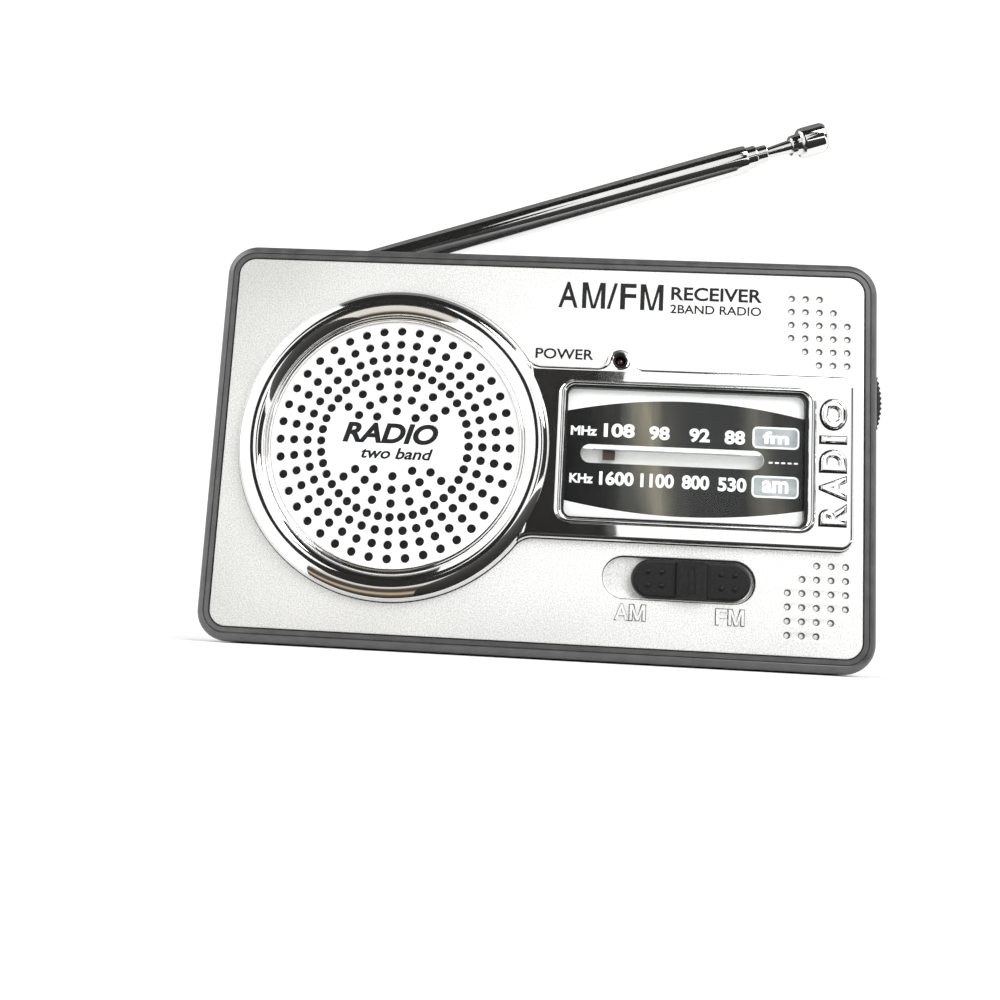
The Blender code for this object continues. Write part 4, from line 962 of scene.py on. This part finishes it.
# ---------------------------------------------------------------- dial
def dial():
    """Silver plate, black barrel-shaped print, white figures, band boxes and the clear window."""
    plate_face = SCALE_LOW.y
    slot = rounded(SLOT_X, SLOT_Z, (SLOT_Z[1] - SLOT_Z[0]) / 2 - 0.02, 10)
    silver = plate_mesh("dial_plate", rounded((SCALE_LOW.x, SCALE_HIGH.x),
                                              (SCALE_LOW.z, SCALE_HIGH.z), 1.6), [slot],
                        [(0.0, plate_face), (0.0, SCALE_HIGH.y)])
    piece("dial_plate", silver, PLATE_SILVER, stands_for=["dial_scale"])

    low_x, high_x = SCALE_LOW.x + 0.4, SCALE_HIGH.x - 0.4
    middle, half = (low_x + high_x) / 2, (high_x - low_x) / 2
    steps = 32
    along = [low_x + (high_x - low_x) * i / steps for i in range(steps + 1)]

    def bow(x, edge_z, rise):
        return edge_z + rise * (1 - ((x - middle) / half) ** 2)
    barrel = [(x, bow(x, 28.5, -2.3)) for x in along]
    barrel += [(x, bow(x, 44.3, 2.7)) for x in reversed(along)]
    ink = plate_mesh("dial_band", barrel, [slot], [(0.0, plate_face - PRINT), (0.0, plate_face)])
    piece("dial_band", ink, DIAL_BLACK)

    ink_face = plate_face - 2 * PRINT
    figures = (("mhz", "MHz", 5.6, 10.3, 40.15, 41.85), ("f108", "108", 11.5, 17.0, 40.0, 42.5),
               ("f98", "98", 19.6, 23.2, 39.8, 42.3), ("f92", "92", 26.7, 30.3, 39.7, 42.2),
               ("f88", "88", 32.9, 36.5, 39.6, 42.1), ("khz", "KHz", 5.7, 9.9, 31.5, 33.2),
               ("k1600", "1600", 11.0, 17.1, 31.3, 33.8), ("k1100", "1100", 18.3, 24.2, 31.2, 33.7),
               ("k800", "800", 25.6, 30.4, 31.2, 33.7), ("k530", "530", 31.9, 36.9, 31.1, 33.6))
    for label, words, x0, x1, z0, z1 in figures:
        mesh = text_mesh(f"dial_{label}", words, (x0, x1), (z0, z1), ink_face, PRINT, 0.036)
        piece(f"dial_{label}", mesh, PRINT_WHITE, weighted=False)

    for label, words, z in (("fm", "fm", (39.1, 43.0)), ("am", "am", (30.3, 34.2))):
        outer = rounded((37.8, 46.0), z, 0.9, 6)
        rim = plate_mesh(f"dial_{label}_rim", outer, [shifted(outer, -0.33)],
                         [(0.0, ink_face), (0.0, plate_face - PRINT)])
        piece(f"dial_{label}_rim", rim, PRINT_WHITE, weighted=False)
        field = plate_mesh(f"dial_{label}_field", shifted(outer, -0.33), [],
                           [(0.0, ink_face), (0.0, plate_face - PRINT)])
        piece(f"dial_{label}_field", field, PRINT_GREY, weighted=False)
        mesh = text_mesh(f"dial_{label}_word", words, (39.6, 44.2), (z[0] + 0.85, z[1] - 0.8),
                         ink_face - PRINT, PRINT, 0.034)
        piece(f"dial_{label}_word", mesh, PRINT_WHITE, weighted=False)
    for number in range(5):
        start = 40.7 + 1.1 * number
        dash = plate_mesh(f"dial_dash_{number + 1}", rounded((start, start + 0.7),
                                                             (36.45, 36.75), 0.1, 2), [],
                          [(0.0, ink_face), (0.0, plate_face - PRINT)])
        piece(f"dial_dash_{number + 1}", dash, PRINT_WHITE, weighted=False)

    shelf = rounded((SLOT_X[0] + 0.3, SLOT_X[1] - 0.3), (SLOT_Z[1] - 0.75, SLOT_Z[1] + 0.25), 0.4, 4)
    mesh = plate_mesh("slot_shelf", shelf, [], [(0.0, plate_face + 0.25), (0.0, -11.55)])
    piece("slot_shelf", mesh, STRIP_WHITE)
    # Painted shadow: a thin grey line along the shelf's lower edge, where the shelf would shade the
    # strip.
    line = rounded((SLOT_X[0] + 2.2, SLOT_X[1] - 4.0), (SLOT_Z[1] - 0.86, SLOT_Z[1] - 0.72), 0.06, 3)
    mesh = plate_mesh("slot_painted_shadow", line, [], [(0.0, plate_face + 0.22), (0.0, -11.56)])
    piece("slot_painted_shadow", mesh, PRINT_GREY)

    pane_low, pane_high = limits("dial_window")
    pane = plate_mesh("window_pane", rounded((pane_low.x, pane_high.x), (pane_low.z, pane_high.z),
                                             1.3), [],
                      round_edge(0.2, pane_low.y, pane_high.y, 3))
    piece("window_pane", pane, WINDOW, stands_for=["dial_window"])


dial()


def led():
    """Small domed lamp at the bottom of its hole, with a dark sleeve round it."""
    dome = [(LED_HIGH.x - LED_X) * math.sin(math.radians(a)) for a in (0, 20, 40, 60, 75, 90)]
    rise = [0.55 * math.cos(math.radians(a)) for a in (0, 20, 40, 60, 75, 90)]
    top = -PANEL_Y + 0.35
    profile = [(r, top + h) for r, h in zip(dome, rise)] + [(dome[-1], -LED_HIGH.y),
                                                           (0.0, -LED_HIGH.y)]
    mesh = lathe_mesh("led_lens", profile, (LED_X, 0, LED_Z), steps=32)
    piece("led_lens", mesh, LENS, stands_for=["power_led"])
    sleeve = [(LED_HOLE_R + 0.05, -PANEL_Y + 1.45), (LED_HOLE_R - 0.12, -PANEL_Y + 1.4),
              (LED_HOLE_R - 0.12, -PANEL_Y), (LED_HOLE_R + 0.05, -PANEL_Y)]
    mesh = lathe_mesh("led_sleeve", sleeve, (LED_X, 0, LED_Z), steps=32, closed=True)
    piece("led_sleeve", mesh, KNOB_BLACK)


led()


# ---------------------------------------------------------------- band switch
def band_switch():
    """Black slider: long pad with raised dots, and a saddle grip with a slot in its middle."""
    x, z = (KNOB_LOW.x, KNOB_HIGH.x), (KNOB_LOW.z, KNOB_HIGH.z)
    middle = (x[0] + x[1]) / 2
    radius = (z[1] - z[0]) / 2 - 0.02
    pad_face = -13.5
    pad = plate_mesh("switch_pad", rounded(x, z, radius, 16), [],
                     round_edge(0.55, pad_face, -11.6, 6))
    piece("switch_pad", pad, KNOB_BLACK, "band_knob", ["band_switch_knob"])
    half = 2.75
    grip_loops, grip_y = [], []
    for inset, y in ((0.55, KNOB_LOW.y), (0.2, KNOB_LOW.y + 0.12), (0.05, KNOB_LOW.y + 0.35),
                     (0.0, pad_face), (-0.5, pad_face + 0.25)):
        grip_loops.append(rounded((middle - half + inset, middle + half - inset),
                                  (z[0] + 0.15, z[1] - 0.15), 0.35, 5))
        grip_y.append(y)
    piece("switch_grip", loft_mesh("switch_grip", grip_loops, grip_y), KNOB_BLACK, "band_knob")
    groove = rounded((middle - 0.45, middle + 0.45), (z[0] + 1.1, z[1] - 1.1), 0.4, 6)
    rim = bead_mesh("switch_groove", groove, [(0.22, KNOB_LOW.y + 0.05), (0.14, KNOB_LOW.y - 0.09),
                                              (0.0, KNOB_LOW.y - 0.09), (-0.05, KNOB_LOW.y + 0.05)])
    piece("switch_groove", rim, KNOB_BLACK, "band_knob")
    for side in (-1, 1):
        for column in (0, 1):
            for row in (-1, 1):
                cx = middle + side * (5.15 + 2.35 * column)
                cz = (z[0] + z[1]) / 2 + row * 1.2
                dot = [(0.0, 0.32), (0.25, 0.28), (0.42, 0.16), (0.52, -0.1)]
                name = f"switch_dot_{'lr'[side > 0]}{column}{'du'[row > 0]}"
                mesh = lathe_mesh(name, [(r, h - pad_face) for r, h in dot], (cx, 0, cz), steps=20)
                piece(name, mesh, KNOB_BLACK, "band_knob")


band_switch()


# ---------------------------------------------------------------- finger wheels
def finger_wheel(name, node_name, body, teeth, width_edge):
    """Ridged wheel with chamfered rims."""
    low, high = limits(node_name)
    cx, cz, radius = (low.x + high.x) / 2, (low.z + high.z) / 2, (high.x - low.x) / 2
    front, back = -low.y, -high.y
    if node_name == "tuning_wheel":
        front = 7.6
    profile = [(1.6, front), (radius - 1.0 - width_edge, front), (radius - 0.55, front),
               (radius, front - width_edge), (radius, back + width_edge), (radius - 0.55, back),
               (radius - 1.0 - width_edge, back), (1.6, back)]
    mesh = lathe_mesh(name, profile, (cx, 0, cz), closed=True, teeth=teeth, depth=0.32)
    piece(name, mesh, KNOB_BLACK, body, [node_name], sharp=25)


finger_wheel("tuning_dial_wheel", "tuning_wheel", "tuning", 104, 0.35)
finger_wheel("volume_dial_wheel", "volume_wheel", "volume", 60, 0.3)


# ---------------------------------------------------------------- antenna
JOINTS = {joint["name"]: joint for joint in frame["joints"]}
PIVOT = Vector(JOINTS["antenna_tilt"]["pos_m"]) / MM
ALONG = Vector(JOINTS["antenna_slide_1"]["axis"])
ANTENNA_TURN = ALONG.to_track_quat("Z", "Y").to_matrix().to_4x4()


def antenna_part(name, node_name, body, profile, material=TUBE_CHROME, closed=False):
    """A turned part of the antenna; heights run from the pivot towards the tip."""
    mesh = lathe_mesh(name, profile, PIVOT, ANTENNA_TURN, 48, closed)
    piece(name, mesh, material, body, [node_name], sharp=40)


def antenna():
    """Three drawn tubes with rolled ends, the rod with its collar, and the tip."""
    tube_1 = [(2.45, 98.6), (2.60, 98.75), (2.66, 98.3), (2.70, 97.2), (2.75, 94.0), (2.75, 8.4),
              (2.62, 8.1), (2.62, 7.5), (2.75, 7.2), (2.75, 5.0), (2.6, 4.6), (2.45, 4.6)]
    antenna_part("antenna_outer_tube", "antenna_tube_1", "antenna_outer", tube_1, closed=True)
    tube_2 = [(1.9, 100.9), (2.05, 100.9), (2.15, 100.7), (2.15, 9.6), (1.9, 9.6)]
    antenna_part("antenna_middle_tube", "antenna_tube_2", "antenna_middle", tube_2, closed=True)
    tube_3 = [(1.5, 103.1), (1.6, 103.1), (1.7, 102.9), (1.7, 11.0), (1.5, 11.0)]
    antenna_part("antenna_inner_tube", "antenna_tube_3", "antenna_inner", tube_3, closed=True)
    rod = [(0.0, 109.3), (1.35, 109.3), (1.35, 108.0), (0.98, 103.3), (0.98, 12.5), (0.0, 12.5)]
    antenna_part("antenna_thin_rod", "antenna_rod", "antenna_tip", rod)
    cap = [(0.0, 115.4), (2.45, 115.4), (2.72, 115.2), (2.92, 114.8), (2.98, 114.4),
           (2.98, 110.9), (2.9, 110.4), (2.7, 110.15), (2.15, 110.1), (2.1, 109.8),
           (2.0, 108.4), (1.85, 108.2), (0.0, 108.2)]
    antenna_part("antenna_tip_cap", "antenna_cap", "antenna_tip", cap)


antenna()


# ---------------------------------------------------------------- CAD pieces that stay
KEPT = {
    CHROME: ["antenna_mount", "antenna_foot"],
    ZINC: ["antenna_nut", "antenna_pin", "band_switch_body", "idler_pin", "tuning_screw",
           "volume_screw", "volume_pot", "speaker_frame", "speaker_clip_1", "speaker_clip_2",
           "speaker_screw_1", "speaker_screw_2", "coil_can_1", "coil_can_2", "coil_can_3",
           "battery_spring_1", "battery_spring_2", "battery_plate_1", "battery_plate_2",
           "case_screw_1", "case_screw_2", "case_screw_3", "case_screw_4"],
    BRASS: ["tuning_shaft"],
    NYLON: ["idler_gear", "tuning_capacitor"],
    STRIP_WHITE: ["dial_strip"],
    POINTER: ["dial_pointer"],
    PAPER: ["grille_cloth", "speaker_cone", "radio_chip"],
    FERRITE: ["speaker_magnet", "ferrite_rod"],
    LAMINATE: ["circuit_board"],
    COPPER: ["antenna_coil"],
    CELL_SLEEVE: ["battery_cell_1", "battery_cell_2"],
    CAPACITOR_SLEEVE: ["electrolytic_1", "electrolytic_2"],
    KNOB_BLACK: ["earphone_jack"],
}
for kept_material, names in KEPT.items():
    for node_name in names:
        kept = frame["nodes"][node_name]
        kept.data.materials.clear()
        kept.data.materials.append(kept_material)


# ---------------------------------------------------------------- studio
def stage_sheet(name, corners, mat):
    """A flat four-sided sheet of the studio, given by its corners in metres."""
    mesh = bpy.data.meshes.new(name)
    mesh.from_pydata(corners, [], [(0, 1, 2, 3)])
    mesh.materials.append(mat)
    obj = bpy.data.objects.new(name, mesh)
    bpy.context.scene.collection.objects.link(obj)
    return obj


def area_light(name, place, target, size, energy, colour=(1.0, 1.0, 1.0)):
    light = bpy.data.lights.new(name, "AREA")
    light.shape = "RECTANGLE"
    light.size, light.size_y = size
    light.energy = energy
    light.color = colour
    obj = bpy.data.objects.new(name, light)
    bpy.context.scene.collection.objects.link(obj)
    obj.location = place
    aim = Vector(target) - Vector(place)
    obj.rotation_euler = aim.to_track_quat("-Z", "Y").to_euler()
    return obj


def brown_flag():
    """Black sheet with a pale middle and a soft beige band along its edge nearest the radio."""
    mat, tree, shader = base_material("brown_flag", 0.0, Roughness=0.95)
    split = node(tree, "SeparateXYZ")
    tree.links.new(node(tree, "TexCoord").outputs["Object"], split.inputs["Vector"])
    far = ramp(tree, spread(tree, split.outputs["Y"], 0.0, 1.0, -0.5, -0.045),
               ((0.0, (0.006, 0.006, 0.006)), (0.25, (0.02, 0.019, 0.018)),
                (0.5, (0.50, 0.48, 0.44)), (0.93, (0.50, 0.47, 0.42)), (1.0, (0.02, 0.015, 0.01))))
    near = ramp(tree, spread(tree, split.outputs["Y"], 0.0, 1.0, -0.045, -0.014),
                ((0.0, (0.0, 0.0, 0.0)), (0.55, (0.015, 0.010, 0.006)), (0.72, (0.42, 0.33, 0.24)),
                 (0.85, (0.03, 0.02, 0.012)), (1.0, (0.0, 0.0, 0.0))))
    mix = node(tree, "Mix", {"Factor": 1.0}, data_type="RGBA", blend_type="ADD")
    tree.links.new(far, mix.inputs["A"])
    tree.links.new(near, mix.inputs["B"])
    tree.links.new(mix.outputs["Result"], shader.inputs["Base Color"])
    return mat


FLOOR = surface("floor_paper", (0.93, 0.93, 0.928), (0.96, 0.96, 0.958), (0.7, 0.85), 30.0)
FLAG = surface("black_flag", (0.004, 0.004, 0.004), (0.008, 0.007, 0.006), (0.9, 1.0), 80.0)
FLAG_GREY = surface("grey_flag", (0.13, 0.13, 0.13), (0.17, 0.17, 0.17), (0.9, 1.0), 80.0)
FLAG_BROWN = brown_flag()
REACH = 3.0
stage_sheet("floor", [(-REACH, -REACH, 0), (REACH, -REACH, 0), (REACH, REACH, 0),
                      (-REACH, REACH, 0)], FLOOR)

# Dark flags round the set: only the bright trim mirrors them, nothing is shaded by them.
FLAG_Y = -0.8


def upright_flag(name, x, z, y=FLAG_Y, mat=FLAG):
    return stage_sheet(name, [(x[0], y, z[0]), (x[1], y, z[0]), (x[1], y, z[1]),
                              (x[0], y, z[1])], mat)


def level_flag(name, x, y, z, mat, left_near=None):
    """A dark level sheet; left_near moves the left corner nearest the radio."""
    return stage_sheet(name, [(x[0], y[0], z), (x[1], y[0], z), (x[1], y[1], z),
                              (x[0] if left_near is None else left_near, y[1], z)], mat)


FLAGS = [upright_flag("flag_near", (-0.05, 0.062), (0.002, 0.30)),
         upright_flag("flag_left", (-0.24, -0.05), (0.002, 0.36)),
         upright_flag("flag_high_left", (-0.50, -0.06), (0.36, 0.9)),
         upright_flag("flag_high_right", (0.24, 0.6), (0.36, 0.9)),
         upright_flag("flag_high_middle", (-0.06, 0.24), (0.62, 0.9)),
         upright_flag("flag_right_near", (0.30, 0.46), (0.002, 0.36)),
         upright_flag("flag_right_far", (0.60, 2.4), (0.002, 0.9)),
         upright_flag("flag_back_middle", (-0.5, 0.5), (0.3, 1.4), 0.9, FLAG_GREY),
         upright_flag("flag_back_left", (-1.1, -0.8), (0.002, 1.0), 0.9),
         upright_flag("flag_back_right", (0.8, 1.1), (0.002, 1.0), 0.9),
         level_flag("flag_above", (-0.5, 0.6), (FLAG_Y, -0.22), 0.9, FLAG),
         level_flag("flag_behind", (-0.5, 0.6), (-0.22, 0.8), 0.9, FLAG_GREY),
         level_flag("flag_floor_left", (-0.24, -0.02), (FLAG_Y, -0.014), 0.001, FLAG_BROWN, -0.05),
         level_flag("flag_floor_right", (-0.02, 0.25), (FLAG_Y, -0.014), 0.001, FLAG)]
for flag in FLAGS:
    flag.visible_camera = False
    flag.visible_diffuse = False
    flag.visible_shadow = False
    flag.visible_transmission = False

area_light("key", (0.45, -0.6, 0.55), (0.0, 0.0, 0.04), (0.5, 0.5), 5.0)
area_light("fill", (-0.7, -0.3, 0.6), (0.0, 0.0, 0.04), (0.5, 0.5), 2.0)

world = bpy.data.worlds.new("studio_sky")
bpy.context.scene.world = world
world.use_nodes = True
sky = world.node_tree
look = node(sky, "TexCoord")
height = node(sky, "SeparateXYZ")
sky.links.new(look.outputs["Generated"], height.inputs["Vector"])
tone = ramp(sky, height.outputs["Z"], ((0.0, (1.0, 1.0, 1.0)), (0.75, (1.0, 1.0, 1.0)),
                                       (0.95, (0.62, 0.62, 0.63))))
sky.links.new(tone, sky.nodes["Background"].inputs["Color"])
sky.nodes["Background"].inputs["Strength"].default_value = 1.18

# The camera stands low in front, turned a little left and up, and rolled.
CAMERA_PLACE = (3.8, -188.8, 3.9)
CAMERA_ANGLES = (97.70, -3.04, 2.91)
lens = bpy.data.cameras.new("camera")
lens.lens, lens.sensor_width = 36.0, 36.0
lens.clip_start, lens.clip_end = 0.001, 20.0
camera = bpy.data.objects.new("camera", lens)
bpy.context.scene.collection.objects.link(camera)
camera.location = [value * MM for value in CAMERA_PLACE]
camera.rotation_euler = Euler([math.radians(angle) for angle in CAMERA_ANGLES], "XYZ")
bpy.context.scene.camera = camera
bpy.context.scene.view_settings.view_transform = "Standard"
